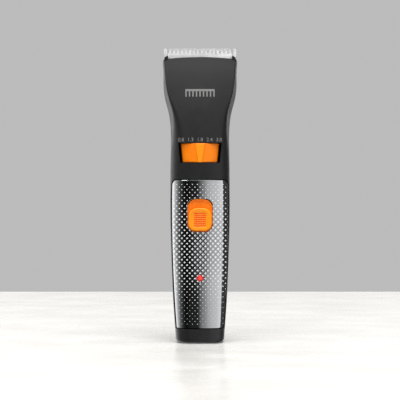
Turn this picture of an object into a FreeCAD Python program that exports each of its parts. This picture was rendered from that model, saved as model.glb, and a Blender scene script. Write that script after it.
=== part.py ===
import FreeCAD, Part
import math
import os
from FreeCAD import Vector

# Cordless hair clipper, in millimetres.
# Origin: the centre of the base. +Z runs up to the blades, and the front faces -Y.

# Casing
WALL = 2.2                 # wall of the two shells
SPLIT_Y = 3.0              # plane where the front and rear shells meet
SEAM = 0.3                 # open line between neighbouring covers
FOOT_RADIUS = 3.0          # rounded edge under the base
CAP_TOP = 9.0
CAP_FLOOR = 2.4
HEAD_TOP = 176.3           # top of the front lip at the middle
HEAD_ARCH_RADIUS = 187.0   # gentle arch of that lip
REAR_SHELL_TOP = 156.0
COVER_TOP = 173.0
REACH = 60.0               # longer than the casing is deep or wide, for cutting tools

# The casing's cross-sections, from the base to the head. The columns are height, half-width of the front
# face, greatest half-width, front depth, rear depth, front crown, rear crown, and how far the front and
# rear corners are rounded along the faces.
SECTIONS = [
    (0.0, 14.9, 15.2, -14.0, 14.0, 1.0, 1.0, 9.0, 9.0),
    (8.6, 15.3, 15.65, -14.6, 14.8, 1.1, 1.1, 9.5, 9.5),
    (26.0, 16.5, 16.95, -15.9, 16.6, 1.3, 1.3, 11.0, 11.0),
    (45.0, 17.3, 17.85, -17.0, 18.2, 1.5, 1.5, 12.0, 12.0),
    (66.0, 18.0, 18.55, -17.8, 19.2, 1.6, 1.6, 13.0, 13.0),
    (88.0, 18.3, 18.85, -18.1, 19.55, 1.7, 1.7, 13.5, 13.5),
    (104.0, 18.1, 18.8, -18.0, 19.3, 1.7, 1.7, 13.5, 13.5),
    (118.0, 17.4, 19.0, -17.7, 18.6, 1.8, 1.7, 12.5, 13.0),
    (131.0, 15.9, 19.6, -16.5, 17.2, 1.9, 1.6, 7.0, 11.0),
    (143.5, 17.1, 20.9, -14.7, 14.9, 1.6, 1.4, 2.5, 8.0),
    (150.0, 19.0, 22.5, -13.4, 12.8, 1.4, 1.2, 1.4, 6.5),
    (160.0, 21.1, 23.5, -11.2, 9.4, 1.1, 1.0, 1.0, 5.0),
    (170.0, 21.9, 23.3, -8.7, 6.8, 0.9, 0.9, 1.0, 3.5),
    (177.5, 22.3, 23.1, -6.7, 5.4, 0.8, 0.8, 1.0, 2.5),
]
CORNER_KEPT = 0.4          # least rounding left on an inner corner
CORNER_LOSS = 0.6          # how fast an inner corner sharpens as the wall is crossed

# Grip grooves across the back
GROOVE_DEPTH = 0.5
GROOVE_HEIGHT = 1.6
GROOVE_PITCH = 4.0
GROOVE_COUNT = 11
GROOVE_FIRST_Z = 48.0
GROOVE_HALF_WIDTH = 12.0

# Front panel
PANEL_THICK = 1.1
PANEL_BOTTOM = CAP_TOP + SEAM
PANEL_TOP = 100.4
PANEL_HALF_BOTTOM = 14.6
PANEL_HALF_MIDDLE = 17.0
PANEL_HALF_TOP = 17.35
PANEL_MIDDLE_Z = 52.0
PANEL_CORNER = 3.0

# Power switch
BEZEL_HALF_WIDTH = 7.5
BEZEL_BOTTOM = 68.9
BEZEL_TOP = 88.4
BEZEL_CORNER = 4.4
BEZEL_BACK_Y = -16.0
BEZEL_FLOOR_Y = -17.0
BEZEL_RIM = 0.35
SLIDER_TRAVEL = 4.8
SLIDER_CLEAR = 0.1
STEM_HALF_WIDTH = 1.6
STEM_BOTTOM = 74.0
STEM_TOP = 78.0
STEM_BACK_Y = -13.9
PAD_CHAMFER = 0.6
PAD_GROOVE_PITCH = 1.27
PAD_GROOVES = 7
PAD_GROOVE_HALF_LENGTH = 3.6
PAD_GROOVE_RADIUS = 0.35
PAD_GROOVE_MIDDLE_Z = 76.0
STEM_ROOT = 1.0            # how far the stem is sunk into the pad
SWITCH_HALF_WIDTH = 4.0
SWITCH_FRONT_Y = -13.6
SWITCH_BOTTOM = 69.0
SWITCH_TOP = 83.8
SWITCH_FLOOR = 0.5         # thickness left behind the switch's slot
KNOB_HALF = 1.0
KNOB_SUNK = 2.0            # how far the knob is sunk into the stem
KNOB_GAP = 1.0             # from the knob's end to the board

# Circuit board and status lamp
BOARD_HALF_WIDTH = 11.0
BOARD_FRONT_Y = -10.8
BOARD_THICK = 1.2
BOARD_BOTTOM = 24.0
BOARD_TOP = 84.0
LAMP_Z = 40.4
LENS_RADIUS = 1.75
LENS_BACK_Y = -14.2
LAMP_RADIUS = 1.5
LAMP_GAP = 0.4

# Parts soldered to the board
CHARGER_HALF_WIDTH = 2.5
CHARGER_THICK = 1.5
CHARGER_BOTTOM = 30.0
CHARGER_TOP = 34.0
DRIVER_LEFT = -9.0
DRIVER_RIGHT = -5.0
DRIVER_THICK = 1.5
DRIVER_BOTTOM = 48.0
DRIVER_TOP = 53.0
ROUND_PARTS_X = 6.0
CAPACITOR_RADIUS = 2.5
CAPACITOR_LENGTH = 3.0
CAPACITOR_Z = 50.0
COIL_RADIUS = 3.0
COIL_LENGTH = 2.5
COIL_Z = 60.0

# Battery
CELL_RADIUS = 9.2
CELL_LENGTH = 65.0
CELL_BOTTOM = 14.0
CELL_Y = 3.0
CELL_ROUNDING = 0.8
CRADLE_THICK = 1.2
CRADLE_DROP = 9.0          # how far the cradle ends below the cell's top
TAB_THICK = 0.3
TAB_HALF_WIDTH = 2.5
POSITIVE_LEG = 6.0
NEGATIVE_LEG_TOP = 28.0

# Charging inlet
JACK_Y = -3.0
JACK_BORE_RADIUS = 1.75
JACK_NOSE_RADIUS = 3.0
JACK_HALF = 4.0
JACK_MOUTH_Z = 0.3
JACK_BORE_END_Z = 12.0
JACK_TOP_Z = 12.9
PIN_X = 3.3                # the inlet's two solder pins
PIN_HALF_WIDTH = 0.4
PIN_THICK = 0.4
PIN_BOTTOM = 5.0
PIN_TOP = 20.0

# Motor and its eccentric, on one upright axis with the length dial
AXIS_Y = -1.8
MOTOR_RADIUS = 10.05
MOTOR_BOTTOM = 86.0
MOTOR_TOP = 118.0
CAN_THICK = 0.8
MAGNET_THICK = 1.5
MAGNET_GAP_HALF = 2.0      # between the two magnets
BELL_THICK = 2.0
BEARING_RADIUS = 3.0
BEARING_HEIGHT = 1.2
BEARING_DEPTH = 2.0
BLADE_X = 6.0              # the motor's two terminal blades
BLADE_HALF_WIDTH = 1.2
BLADE_HALF_THICK = 0.2
BLADE_LENGTH = 2.5
SHAFT_RADIUS = 1.0
SHAFT_CLEAR = 0.03
ARMATURE_RADIUS = 7.3
ARMATURE_BOTTOM = 91.0
ARMATURE_TOP = 112.0
ARMATURE_POLES = 3
ARMATURE_CORE_RADIUS = 3.0
ARMATURE_SLOT_HALF = 0.6
HUB_RADIUS = 4.5
HUB_BOTTOM = 119.6
HUB_TOP = 124.5
HUB_CAP = 1.0              # closed end of the hub over the shaft
CRANK_THROW = 0.68
CRANK_RADIUS = 1.4
CRANK_TOP = 131.0

# Length dial
DIAL_BOTTOM = 110.9
DIAL_TOP = 122.6
RING_OUTER = 15.3
RING_INNER = 12.6
GRIP_OUTER = 16.0
GRIP_INNER = 14.0
GRIP_HALF_BOTTOM = 10.5
GRIP_HALF_TOP = 11.8
RIDGE_HEIGHT = 0.8
RIDGE_HALF_TOP = 2.6
RIDGE_HALF_BOTTOM = 1.3
RIDGE_STRAIGHT = 3.0
WINDOW_BOTTOM = 110.7
WINDOW_TOP = 122.8
WINDOW_HALF_BOTTOM = 12.1
WINDOW_HALF_TOP = 13.3
POCKET_RADIUS = 16.35
RIDGE_POCKET_RADIUS = 17.1
RIDGE_POCKET_HALF = 15.2
RIDGE_POCKET_BACK = 6.0    # how far in front of the axis that pocket stops
CAM_Z = 116.75
CAM_RISE = 1.37            # comb travel in mm for each radian of the dial
CAM_HALF_HEIGHT = 1.1
CAM_HALF_ANGLE = 53.0
CAM_STEPS = 8
CAM_OVERSHOOT = 1.0        # how far the slot's cutter runs past the ring's wall
FOLLOWER_RADIUS = 1.0
FOLLOWER_SET_BACK = 0.3    # from the ring's inner face to the pin's end
DETENT_ANGLE = 45.0        # direction of the detent spring from +X, about the dial's axis
DETENT_STEP = 23.0
DETENT_NOTCHES = 5
DETENT_RADIUS = 0.9
DETENT_OUTSET = 0.3        # from the ring's face out to the notch's centre
DETENT_SEAT = 17.3         # distance of the detent spring's seat from the dial's axis
DETENT_BLOCK_HALF = 6.0
DETENT_BLOCK_HALF_HEIGHT = 3.0
LEAF_THICK = 0.3
LEAF_HALF_LENGTH = 5.5
LEAF_BEND = 3.5
LEAF_BUMP_HALF = 0.9
LEAF_BUMP_HEIGHT = 0.7
LEAF_CLEAR = 0.05
LEAF_HEIGHT = 4.0

# Drive frame, lever and cutter
FRAME_OUTER = 12.5
FRAME_BOTTOM = 108.0
FRAME_PLATE_TOP = 120.0
FRAME_WALL = 2.0
FRAME_SHAFT_HOLE = 5.0
FRAME_HOLE_ABOVE = 1.0     # how far that hole runs above the eccentric's hub
FLANGE_OUTER = 13.4
RETAINER_OUTER = 13.0
RETAINER_THICK = 0.8
POST_HALF_WIDTH = 6.0
POST_FRONT_Y = 1.4
POST_BACK_Y = 3.4
POST_TOP = 147.5
PIVOT_Z = 142.0
PIVOT_RADIUS = 1.5
PIVOT_CLEAR = 0.05
PIVOT_FRONT_Y = -8.4
PIVOT_HEAD_OVER = 1.0
PIVOT_HEAD_THICK = 0.8
LEVER_HUB_RADIUS = 3.4
LEVER_HUB_PROUD = 0.9
LEVER_HUB_GAP = 0.2
LEVER_HALF_WIDTH = 2.6
LEVER_NECK_HALF = 1.25
LEVER_NECK_DROP = 3.0      # from the bridge down to where the neck starts
LEVER_ARM = 23.0           # from the pivot up to the cutter's slot
LEVER_TIP_RADIUS = 1.6
LEVER_FRONT_Y = -6.5
LEVER_ARM_BACK_Y = -5.0
FORK_HALF_GAP = 3.0
FORK_HALF_WIDTH = 5.2
FORK_STEM_HALF = 2.8
FORK_HALF_THICK = 1.6
FORK_BOTTOM = 126.0
FORK_ROOT = 132.0
FORK_TOP = 134.5

# Blade set
CUTTER_FRONT_Y = -4.6
CUTTER_THICK = 0.8
CUTTER_HALF_WIDTH = 19.85
CUTTER_STEM_HALF = 18.2
CUTTER_BOTTOM = 168.0
CUTTER_SHOULDER = 175.5
CUTTER_ROOT = 178.6
CUTTER_TIP = 180.5
CUTTER_PITCH = 2.48
CUTTER_TEETH = 16
CUTTER_TOOTH_ROOT = 0.75   # half-widths of a tooth
CUTTER_TOOTH_TIP = 0.5
COMB_GAP = 0.05
COMB_THICK = 1.4
COMB_HALF_WIDTH = 22.5
COMB_STEM_HALF = 19.2
COMB_BOTTOM = 159.0
COMB_SHOULDER = 176.5
COMB_ROOT = 177.4
COMB_TIP = 182.0
COMB_PITCH = 1.24
COMB_TEETH = 31
COMB_TOOTH_ROOT = 0.36     # half-widths of a tooth
COMB_TOOTH_TIP = 0.3
COMB_CORNER_TOOTH = 2.1
COMB_TIP_THICK = 0.7       # the teeth are ground thinner towards their tips
COMB_RAMP_DROP = 1.0
COMB_RAMP_OVER = 0.1
BRIDGE_HALF_WIDTH = 9.0
BRIDGE_BOTTOM = 160.0
BRIDGE_TOP = 167.0
BRIDGE_FRONT_Y = -6.8
TONGUE_THICK = 0.6
TONGUE_OVER = 3.0          # how far the bridge's tongue laps the cutter
CARRIER_HALF_WIDTH = 17.0
CARRIER_BACK_Y = 1.6
CARRIER_BOTTOM = 156.0
CARRIER_TOP = 170.0
STRAP_HALF_WIDTH = 4.0
STRAP_GAP = 0.5            # behind the dial's ring
STRAP_THICK = 1.4
STRAP_FOOT_DROP = 4.0
STRAP_BACK_RISE = 5.5
STRAP_FRONT_RISE = 8.0
STRAP_ELBOW_BACK = 5.0
STRAP_ELBOW_FRONT = 3.6
STRAP_ELBOW_DROP = 2.0
STRAP_TOE_THICK = 1.5
STRAP_TOE_BOTTOM = 1.0
STRAP_TOE_TOP = 5.0
BLADE_SCREW_X = 12.0
BLADE_SCREW_Z = 163.0
BLADE_SCREW_RADIUS = 1.6
BLADE_SCREW_THICK = 1.0
SPRING_INNER_X = 11.5
SPRING_OUTER_X = 15.5
SPRING_THICK = 0.4
SPRING_GAP = 0.75          # in front of the cutter
SPRING_BOTTOM = 157.2
SPRING_BEND = 169.4
SPRING_CURL = 0.6          # each step of the curled end
SPRING_CURL_OUT = 0.3
SPRING_SET_BACK = 1.0
EAR_INNER_X = 19.8
EAR_OUTER_X = 22.0
EAR_BOTTOM = 174.5
EAR_TOP = 177.0
EAR_FRONT_Y = -6.9
LIP_BACK_Y = -5.1
SHELF_FRONT_Y = -2.0
SHELF_THICK = 1.5

# Screws: half-spacing across and height of each pair that holds the shells together
SHELL_SCREWS = [(12.4, 16.0), (13.2, 98.0), (14.5, 146.0)]
SCREW_RADIUS = 1.1
SCREW_HEAD_RADIUS = 2.1
SCREW_HEAD_LENGTH = 1.5
SCREW_SEAT = 3.0           # plastic under each screw head, behind the split
BOSS_RADIUS = 2.7
SCREW_BITE = 8.0           # length of thread in front of the split


def export(shape, name):
    shape.exportStep("parts/" + name + ".step")


def box(x0, x1, y0, y1, z0, z1):
    return Part.makeBox(x1 - x0, y1 - y0, z1 - z0, Vector(x0, y0, z0))


def upright(radius, z0, z1, x=0.0, y=AXIS_Y):
    return Part.makeCylinder(radius, z1 - z0, Vector(x, y, z0), Vector(0, 0, 1))


def tube(outer, inner, z0, z1, y=AXIS_Y):
    return upright(outer, z0, z1, 0.0, y).cut(upright(inner, z0, z1, 0.0, y))


def rod(radius, y0, y1, x, z):
    """A round bar that runs from front to back."""
    return Part.makeCylinder(radius, y1 - y0, Vector(x, y0, z), Vector(0, 1, 0))


def front_prism(outline, y0, y1):
    """A wire or a list of (x, z) points, carried from y0 to y1."""
    if isinstance(outline, list):
        corners = [Vector(x, 0, z) for x, z in outline]
        outline = Part.makePolygon(corners + corners[:1])
    face = Part.Face(outline)
    face.translate(Vector(0, y0, 0))
    return face.extrude(Vector(0, y1 - y0, 0))


def side_prism(points, x0, x1):
    """A list of (y, z) points, carried from x0 to x1."""
    corners = [Vector(x0, y, z) for y, z in points]
    return Part.Face(Part.makePolygon(corners + corners[:1])).extrude(Vector(x1 - x0, 0, 0))


def mirrored(shape):
    return shape.mirror(Vector(0, 0, 0), Vector(1, 0, 0))


def both_sides(shape):
    return Part.makeCompound([shape, mirrored(shape)])


def fused(shapes):
    whole = shapes[0]
    for shape in shapes[1:]:
        whole = whole.fuse(shape)
    return whole.removeSplitter()


def curve(points, z):
    bezier = Part.BezierCurve()
    bezier.setPoles([Vector(x, y, z) for x, y in points])
    return bezier.toShape()


def crossing(point, heading, other, other_heading):
    """Where two straight lines in a section meet."""
    across = (other[0] - point[0]) * other_heading[1] - (other[1] - point[1]) * other_heading[0]
    turn = heading[0] * other_heading[1] - heading[1] * other_heading[0]
    return (point[0] + across / turn * heading[0], point[1] + across / turn * heading[1])


def crowned_face(half, tip, crown, kept, inward):
    """The end, end heading and handle length of a shallow arc across a face, stopped short of its corner."""
    radius = (half ** 2 + crown ** 2) / (2 * crown)
    angle = math.asin(half / radius) - kept / radius
    end = (radius * math.sin(angle), tip + inward * radius * (1 - math.cos(angle)))
    heading = (math.cos(angle), inward * math.sin(angle))
    handle = 4 / 3 * math.tan(angle / 2) * radius
    return end, heading, (end[0] - handle * heading[0], end[1] - handle * heading[1])


def flipped(point):
    return (-point[0], point[1])


def section_wire(row, inset):
    """One cross-section of the casing, moved inwards by inset."""
    z, front_half, widest, front, rear, front_crown, rear_crown, front_round, rear_round = row
    front_half -= inset
    widest -= inset
    front += inset
    rear -= inset
    front_round = max(front_round - CORNER_LOSS * inset, CORNER_KEPT)
    rear_round = max(rear_round - CORNER_LOSS * inset, CORNER_KEPT)
    front_corner = (front_half, front + front_crown)
    rear_corner = (widest, rear - rear_crown)
    length = math.dist(front_corner, rear_corner)
    side = ((rear_corner[0] - front_corner[0]) / length, (rear_corner[1] - front_corner[1]) / length)
    front_end, front_heading, front_handle = crowned_face(front_half, front, front_crown, front_round, 1)
    rear_end, rear_heading, rear_handle = crowned_face(widest, rear, rear_crown, rear_round, -1)
    side_start = (front_corner[0] + front_round * side[0], front_corner[1] + front_round * side[1])
    side_end = (rear_corner[0] - rear_round * side[0], rear_corner[1] - rear_round * side[1])
    front_pole = crossing(front_end, front_heading, front_corner, side)
    rear_pole = crossing(rear_end, rear_heading, rear_corner, side)
    return Part.Wire([
        curve([flipped(front_end), flipped(front_handle), front_handle, front_end], z),
        curve([front_end, front_pole, side_start], z),
        curve([side_start, side_end], z),
        curve([side_end, rear_pole, rear_end], z),
        curve([rear_end, rear_handle, flipped(rear_handle), flipped(rear_end)], z),
        curve([flipped(rear_end), flipped(rear_pole), flipped(side_end)], z),
        curve([flipped(side_end), flipped(side_start)], z),
        curve([flipped(side_start), flipped(front_pole), flipped(front_end)], z),
    ])


def casing(inset):
    return Part.makeLoft([section_wire(row, inset) for row in SECTIONS], True, False)


def rounded_outline(half_width, bottom, top, corner):
    """An upright rounded rectangle as a wire in the XZ plane."""
    x, z0, z1, r = half_width, bottom, top, corner
    bow = r * (1 - math.sqrt(0.5))
    stops = [
        [(x - r, z0), (x - bow, z0 + bow), (x, z0 + r)],
        [(x, z1 - r), (x - bow, z1 - bow), (x - r, z1)],
        [(r - x, z1), (bow - x, z1 - bow), (-x, z1 - r)],
        [(-x, z0 + r), (bow - x, z0 + bow), (r - x, z0)],
    ]
    edges = []
    for index, stop in enumerate(stops):
        start, middle, end = [Vector(px, 0, pz) for px, pz in stop]
        following = stops[(index + 1) % len(stops)][0]
        edges.append(Part.Arc(start, middle, end).toShape())
        edges.append(Part.LineSegment(end, Vector(following[0], 0, following[1])).toShape())
    return Part.Wire(edges)


def panel_outline(grow):
    """The front panel's outline: bowed sides, a straight foot and rounded upper corners."""
    foot = Vector(PANEL_HALF_BOTTOM + grow, 0, PANEL_BOTTOM - grow)
    waist = Vector(PANEL_HALF_MIDDLE + grow, 0, PANEL_MIDDLE_Z)
    shoulder = Vector(PANEL_HALF_TOP + grow, 0, PANEL_TOP - PANEL_CORNER)
    bow = PANEL_CORNER * (1 - math.sqrt(0.5))
    corner = Vector(PANEL_HALF_TOP + grow - bow, 0, PANEL_TOP + grow - bow)
    crest = Vector(PANEL_HALF_TOP - PANEL_CORNER, 0, PANEL_TOP + grow)
    right = [
        Part.Arc(foot, waist, shoulder).toShape(),
        Part.Arc(shoulder, corner, crest).toShape(),
    ]
    left = [mirrored(edge) for edge in right]
    top = Part.LineSegment(crest, Vector(-crest.x, 0, crest.z)).toShape()
    bottom = Part.LineSegment(Vector(-foot.x, 0, foot.z), foot).toShape()
    return Part.Wire(Part.__sortEdges__([*right, top, *left, bottom]))


def head_arch():
    """The round tool whose inside is kept, so that the head's top edge arches."""
    return rod(HEAD_ARCH_RADIUS, -REACH, REACH, 0.0, HEAD_TOP - HEAD_ARCH_RADIUS)


def window_prism():
    outline = [
        (-WINDOW_HALF_BOTTOM, WINDOW_BOTTOM),
        (WINDOW_HALF_BOTTOM, WINDOW_BOTTOM),
        (WINDOW_HALF_TOP, WINDOW_TOP),
        (-WINDOW_HALF_TOP, WINDOW_TOP),
    ]
    return front_prism(outline, -REACH, AXIS_Y - RING_INNER / 2)


def bezel_prism(grow, y0, y1):
    outline = rounded_outline(
        BEZEL_HALF_WIDTH + grow, BEZEL_BOTTOM - grow, BEZEL_TOP + grow, BEZEL_CORNER + grow)
    return front_prism(outline, y0, y1)


def screw_places():
    return [(side * x, z) for x, z in SHELL_SCREWS for side in (-1, 1)]


def make_front_shell(outer, under_panel, inner):
    front = box(-REACH, REACH, -REACH, SPLIT_Y, CAP_TOP + SEAM, HEAD_TOP)
    hollow = inner
    for x, z in screw_places():
        hollow = hollow.cut(rod(BOSS_RADIUS, -REACH, SPLIT_Y, x, z))
    shell = outer.cut(hollow).common(front).common(head_arch())
    recess = front_prism(panel_outline(SEAM), -REACH, 0.0).cut(under_panel)
    shell = shell.cut(recess)
    shell = shell.cut(bezel_prism(0.0, -REACH, 0.0))
    shell = shell.cut(rod(LENS_RADIUS, -REACH, 0.0, 0.0, LAMP_Z))
    shell = shell.cut(window_prism())
    shell = shell.cut(upright(POCKET_RADIUS, WINDOW_BOTTOM, WINDOW_TOP))
    ridge_back = AXIS_Y - RIDGE_POCKET_BACK
    ridge_path = box(-RIDGE_POCKET_HALF, RIDGE_POCKET_HALF, -REACH, ridge_back, WINDOW_BOTTOM, WINDOW_TOP)
    shell = shell.cut(upright(RIDGE_POCKET_RADIUS, WINDOW_BOTTOM, WINDOW_TOP).common(ridge_path))
    shell = shell.cut(box(-EAR_INNER_X, EAR_INNER_X, LIP_BACK_Y, SPLIT_Y, CUTTER_BOTTOM, HEAD_TOP))
    for x, z in screw_places():
        shell = shell.cut(rod(SCREW_RADIUS, SPLIT_Y - SCREW_BITE, SPLIT_Y, x, z))
    ear_radius = EAR_TOP - EAR_BOTTOM
    ear = rod(ear_radius, EAR_FRONT_Y, LIP_BACK_Y, EAR_INNER_X, EAR_BOTTOM)
    ear = ear.common(box(EAR_INNER_X, EAR_OUTER_X, -REACH, REACH, EAR_BOTTOM, EAR_TOP))
    return fused([shell, ear, mirrored(ear)])


def detent_place(shape):
    """Turn a shape drawn on the +X side of the dial's axis to the detent's direction."""
    shape = shape.copy()
    shape.rotate(Vector(0, 0, 0), Vector(0, 0, 1), DETENT_ANGLE)
    shape.translate(Vector(0, AXIS_Y, 0))
    return shape


def detent_block():
    half, half_height = DETENT_BLOCK_HALF, DETENT_BLOCK_HALF_HEIGHT
    return detent_place(box(DETENT_SEAT, REACH, -half, half, CAM_Z - half_height, CAM_Z + half_height))


def make_rear_shell(outer, under_grooves, inner):
    rear = box(-REACH, REACH, SPLIT_Y, REACH, CAP_TOP + SEAM, REAR_SHELL_TOP)
    hollow = inner.cut(detent_block())
    for x, z in screw_places():
        hollow = hollow.cut(rod(BOSS_RADIUS, SPLIT_Y, REACH, x, z))
    shell = outer.cut(hollow).common(rear)
    for index in range(GROOVE_COUNT):
        z = GROOVE_FIRST_Z + index * GROOVE_PITCH
        slab = box(-GROOVE_HALF_WIDTH, GROOVE_HALF_WIDTH, SPLIT_Y, REACH, z, z + GROOVE_HEIGHT)
        shell = shell.cut(slab.cut(under_grooves))
    shell = shell.cut(upright(POCKET_RADIUS, WINDOW_BOTTOM, WINDOW_TOP))
    for x, z in screw_places():
        shell = shell.cut(rod(SCREW_RADIUS + SLIDER_CLEAR, SPLIT_Y, REACH, x, z))
        shell = shell.cut(rod(SCREW_HEAD_RADIUS + SLIDER_CLEAR, SPLIT_Y + SCREW_SEAT, REACH, x, z))
    return shell


def make_blade_cover(outer, inner):
    rear = box(-REACH, REACH, SPLIT_Y, REACH, REAR_SHELL_TOP + SEAM, COVER_TOP)
    wall = outer.cut(inner).common(rear)
    shelf = box(-EAR_INNER_X, EAR_INNER_X, SHELF_FRONT_Y, REACH, COVER_TOP - SHELF_THICK, COVER_TOP)
    return fused([wall, shelf.common(inner)])


def make_end_cap(outer, inner):
    cap = outer.common(box(-REACH, REACH, -REACH, REACH, 0.0, CAP_TOP))
    hollow = inner.common(box(-REACH, REACH, -REACH, REACH, CAP_FLOOR, CAP_TOP))
    return cap.cut(hollow).cut(upright(JACK_NOSE_RADIUS, 0.0, CAP_FLOOR, 0.0, JACK_Y))


def make_front_panel(outer, under_panel):
    panel = front_prism(panel_outline(0.0), -REACH, 0.0).common(outer).cut(under_panel)
    panel = panel.cut(bezel_prism(SEAM, -REACH, 0.0))
    return panel.cut(rod(LENS_RADIUS + SLIDER_CLEAR, -REACH, 0.0, 0.0, LAMP_Z))


def make_switch_bezel(outer):
    tray = bezel_prism(0.0, -REACH, BEZEL_BACK_Y).common(outer)
    tray = tray.cut(bezel_prism(-BEZEL_RIM, -REACH, BEZEL_FLOOR_Y))
    slot = box(
        -STEM_HALF_WIDTH - SLIDER_CLEAR, STEM_HALF_WIDTH + SLIDER_CLEAR, -REACH, 0.0,
        STEM_BOTTOM - SLIDER_CLEAR, STEM_TOP + SLIDER_TRAVEL + SLIDER_CLEAR)
    return tray.cut(slot)


def make_power_slider(front_y):
    inset = BEZEL_RIM + SLIDER_CLEAR
    pad = front_prism(
        rounded_outline(
            BEZEL_HALF_WIDTH - inset, BEZEL_BOTTOM + inset,
            BEZEL_TOP - inset - SLIDER_TRAVEL, BEZEL_CORNER - inset),
        front_y, BEZEL_FLOOR_Y - SLIDER_CLEAR)
    front_edges = [edge for edge in pad.Edges if edge.BoundBox.YMax < front_y + SLIDER_CLEAR]
    pad = pad.makeChamfer(PAD_CHAMFER, front_edges)
    first = PAD_GROOVE_MIDDLE_Z - PAD_GROOVE_PITCH * (PAD_GROOVES - 1) / 2
    for index in range(PAD_GROOVES):
        start = Vector(-PAD_GROOVE_HALF_LENGTH, front_y, first + index * PAD_GROOVE_PITCH)
        groove = Part.makeCylinder(PAD_GROOVE_RADIUS, 2 * PAD_GROOVE_HALF_LENGTH, start, Vector(1, 0, 0))
        pad = pad.cut(groove)
    stem_front = BEZEL_FLOOR_Y - STEM_ROOT
    stem = box(-STEM_HALF_WIDTH, STEM_HALF_WIDTH, stem_front, STEM_BACK_Y, STEM_BOTTOM, STEM_TOP)
    return fused([pad, stem]).cut(knob_bar(STEM_BACK_Y))


def knob_bar(back_y):
    """The square bar that ties the slider to the switch, from inside the stem back to back_y."""
    middle = (STEM_BOTTOM + STEM_TOP) / 2
    front_y = STEM_BACK_Y - KNOB_SUNK
    return box(-KNOB_HALF, KNOB_HALF, front_y, back_y, middle - KNOB_HALF, middle + KNOB_HALF)


def make_switch_knob():
    return knob_bar(BOARD_FRONT_Y - KNOB_GAP)


def make_slide_switch():
    body = box(
        -SWITCH_HALF_WIDTH, SWITCH_HALF_WIDTH, SWITCH_FRONT_Y, BOARD_FRONT_Y,
        SWITCH_BOTTOM, SWITCH_TOP)
    middle = (STEM_BOTTOM + STEM_TOP) / 2
    half = KNOB_HALF + SLIDER_CLEAR
    slot = box(
        -half, half, SWITCH_FRONT_Y, BOARD_FRONT_Y - SWITCH_FLOOR,
        middle - half, middle + half + SLIDER_TRAVEL)
    return body.cut(slot)


def make_circuit_board():
    back = BOARD_FRONT_Y + BOARD_THICK
    return box(-BOARD_HALF_WIDTH, BOARD_HALF_WIDTH, BOARD_FRONT_Y, back, BOARD_BOTTOM, BOARD_TOP)


def make_board_chips():
    back = BOARD_FRONT_Y + BOARD_THICK
    charger = box(
        -CHARGER_HALF_WIDTH, CHARGER_HALF_WIDTH, back, back + CHARGER_THICK,
        CHARGER_BOTTOM, CHARGER_TOP)
    driver = box(
        DRIVER_LEFT, DRIVER_RIGHT, BOARD_FRONT_Y - DRIVER_THICK, BOARD_FRONT_Y,
        DRIVER_BOTTOM, DRIVER_TOP)
    capacitor = rod(
        CAPACITOR_RADIUS, BOARD_FRONT_Y - CAPACITOR_LENGTH, BOARD_FRONT_Y, ROUND_PARTS_X, CAPACITOR_Z)
    coil = rod(COIL_RADIUS, BOARD_FRONT_Y - COIL_LENGTH, BOARD_FRONT_Y, ROUND_PARTS_X, COIL_Z)
    return Part.makeCompound([charger, driver, capacitor, coil])


def make_lens(outer):
    return rod(LENS_RADIUS, -REACH, LENS_BACK_Y, 0.0, LAMP_Z).common(outer)


def make_lamp():
    return rod(LAMP_RADIUS, LENS_BACK_Y + LAMP_GAP, BOARD_FRONT_Y, 0.0, LAMP_Z)


def make_cell():
    cell = upright(CELL_RADIUS, CELL_BOTTOM, CELL_BOTTOM + CELL_LENGTH, 0.0, CELL_Y)
    rims = [edge for edge in cell.Edges if edge.Closed]
    return cell.makeFillet(CELL_ROUNDING, rims)


def make_cradle():
    inner = CELL_RADIUS + SLIDER_CLEAR
    top = CELL_BOTTOM + CELL_LENGTH - CRADLE_DROP
    ring = tube(inner + CRADLE_THICK, inner, BOARD_BOTTOM, top, CELL_Y)
    return ring.common(box(-REACH, REACH, CELL_Y, REACH, 0.0, REACH * 2))


def make_tab(z, toward):
    """A welded strip on one end of the cell, with a leg that reaches the board's back."""
    leg_y = BOARD_FRONT_Y + BOARD_THICK
    plate = box(-TAB_HALF_WIDTH, TAB_HALF_WIDTH, leg_y, CELL_Y + TAB_HALF_WIDTH, z, z + TAB_THICK)
    low, high = sorted((z, toward))
    leg = box(-TAB_HALF_WIDTH, TAB_HALF_WIDTH, leg_y, leg_y + TAB_THICK, low, high + TAB_THICK)
    return fused([plate, leg])


def make_charge_jack():
    nose = upright(JACK_NOSE_RADIUS, JACK_MOUTH_Z, CAP_FLOOR, 0.0, JACK_Y)
    body = box(-JACK_HALF, JACK_HALF, JACK_Y - JACK_HALF, JACK_Y + JACK_HALF, CAP_FLOOR, JACK_TOP_Z)
    return fused([nose, body]).cut(upright(JACK_BORE_RADIUS, JACK_MOUTH_Z, JACK_BORE_END_Z, 0.0, JACK_Y))


def make_jack_terminals():
    back = JACK_Y - JACK_HALF
    pin = box(PIN_X - PIN_HALF_WIDTH, PIN_X + PIN_HALF_WIDTH, back - PIN_THICK, back, PIN_BOTTOM, PIN_TOP)
    return both_sides(pin)


def make_motor_can():
    can = upright(MOTOR_RADIUS, MOTOR_BOTTOM, MOTOR_TOP)
    can = can.cut(upright(MOTOR_RADIUS - CAN_THICK, MOTOR_BOTTOM, MOTOR_TOP - CAN_THICK))
    bearing = upright(BEARING_RADIUS, MOTOR_TOP, MOTOR_TOP + BEARING_HEIGHT)
    hole = upright(SHAFT_RADIUS + SHAFT_CLEAR, MOTOR_TOP - BEARING_DEPTH, MOTOR_TOP + BEARING_DEPTH)
    return fused([can, bearing]).cut(hole)


def make_motor_magnets():
    outer = MOTOR_RADIUS - CAN_THICK
    ring = tube(outer, outer - MAGNET_THICK, ARMATURE_BOTTOM, ARMATURE_TOP)
    gap = box(-MAGNET_GAP_HALF, MAGNET_GAP_HALF, -REACH, REACH, ARMATURE_BOTTOM, ARMATURE_TOP)
    return ring.cut(gap)


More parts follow.
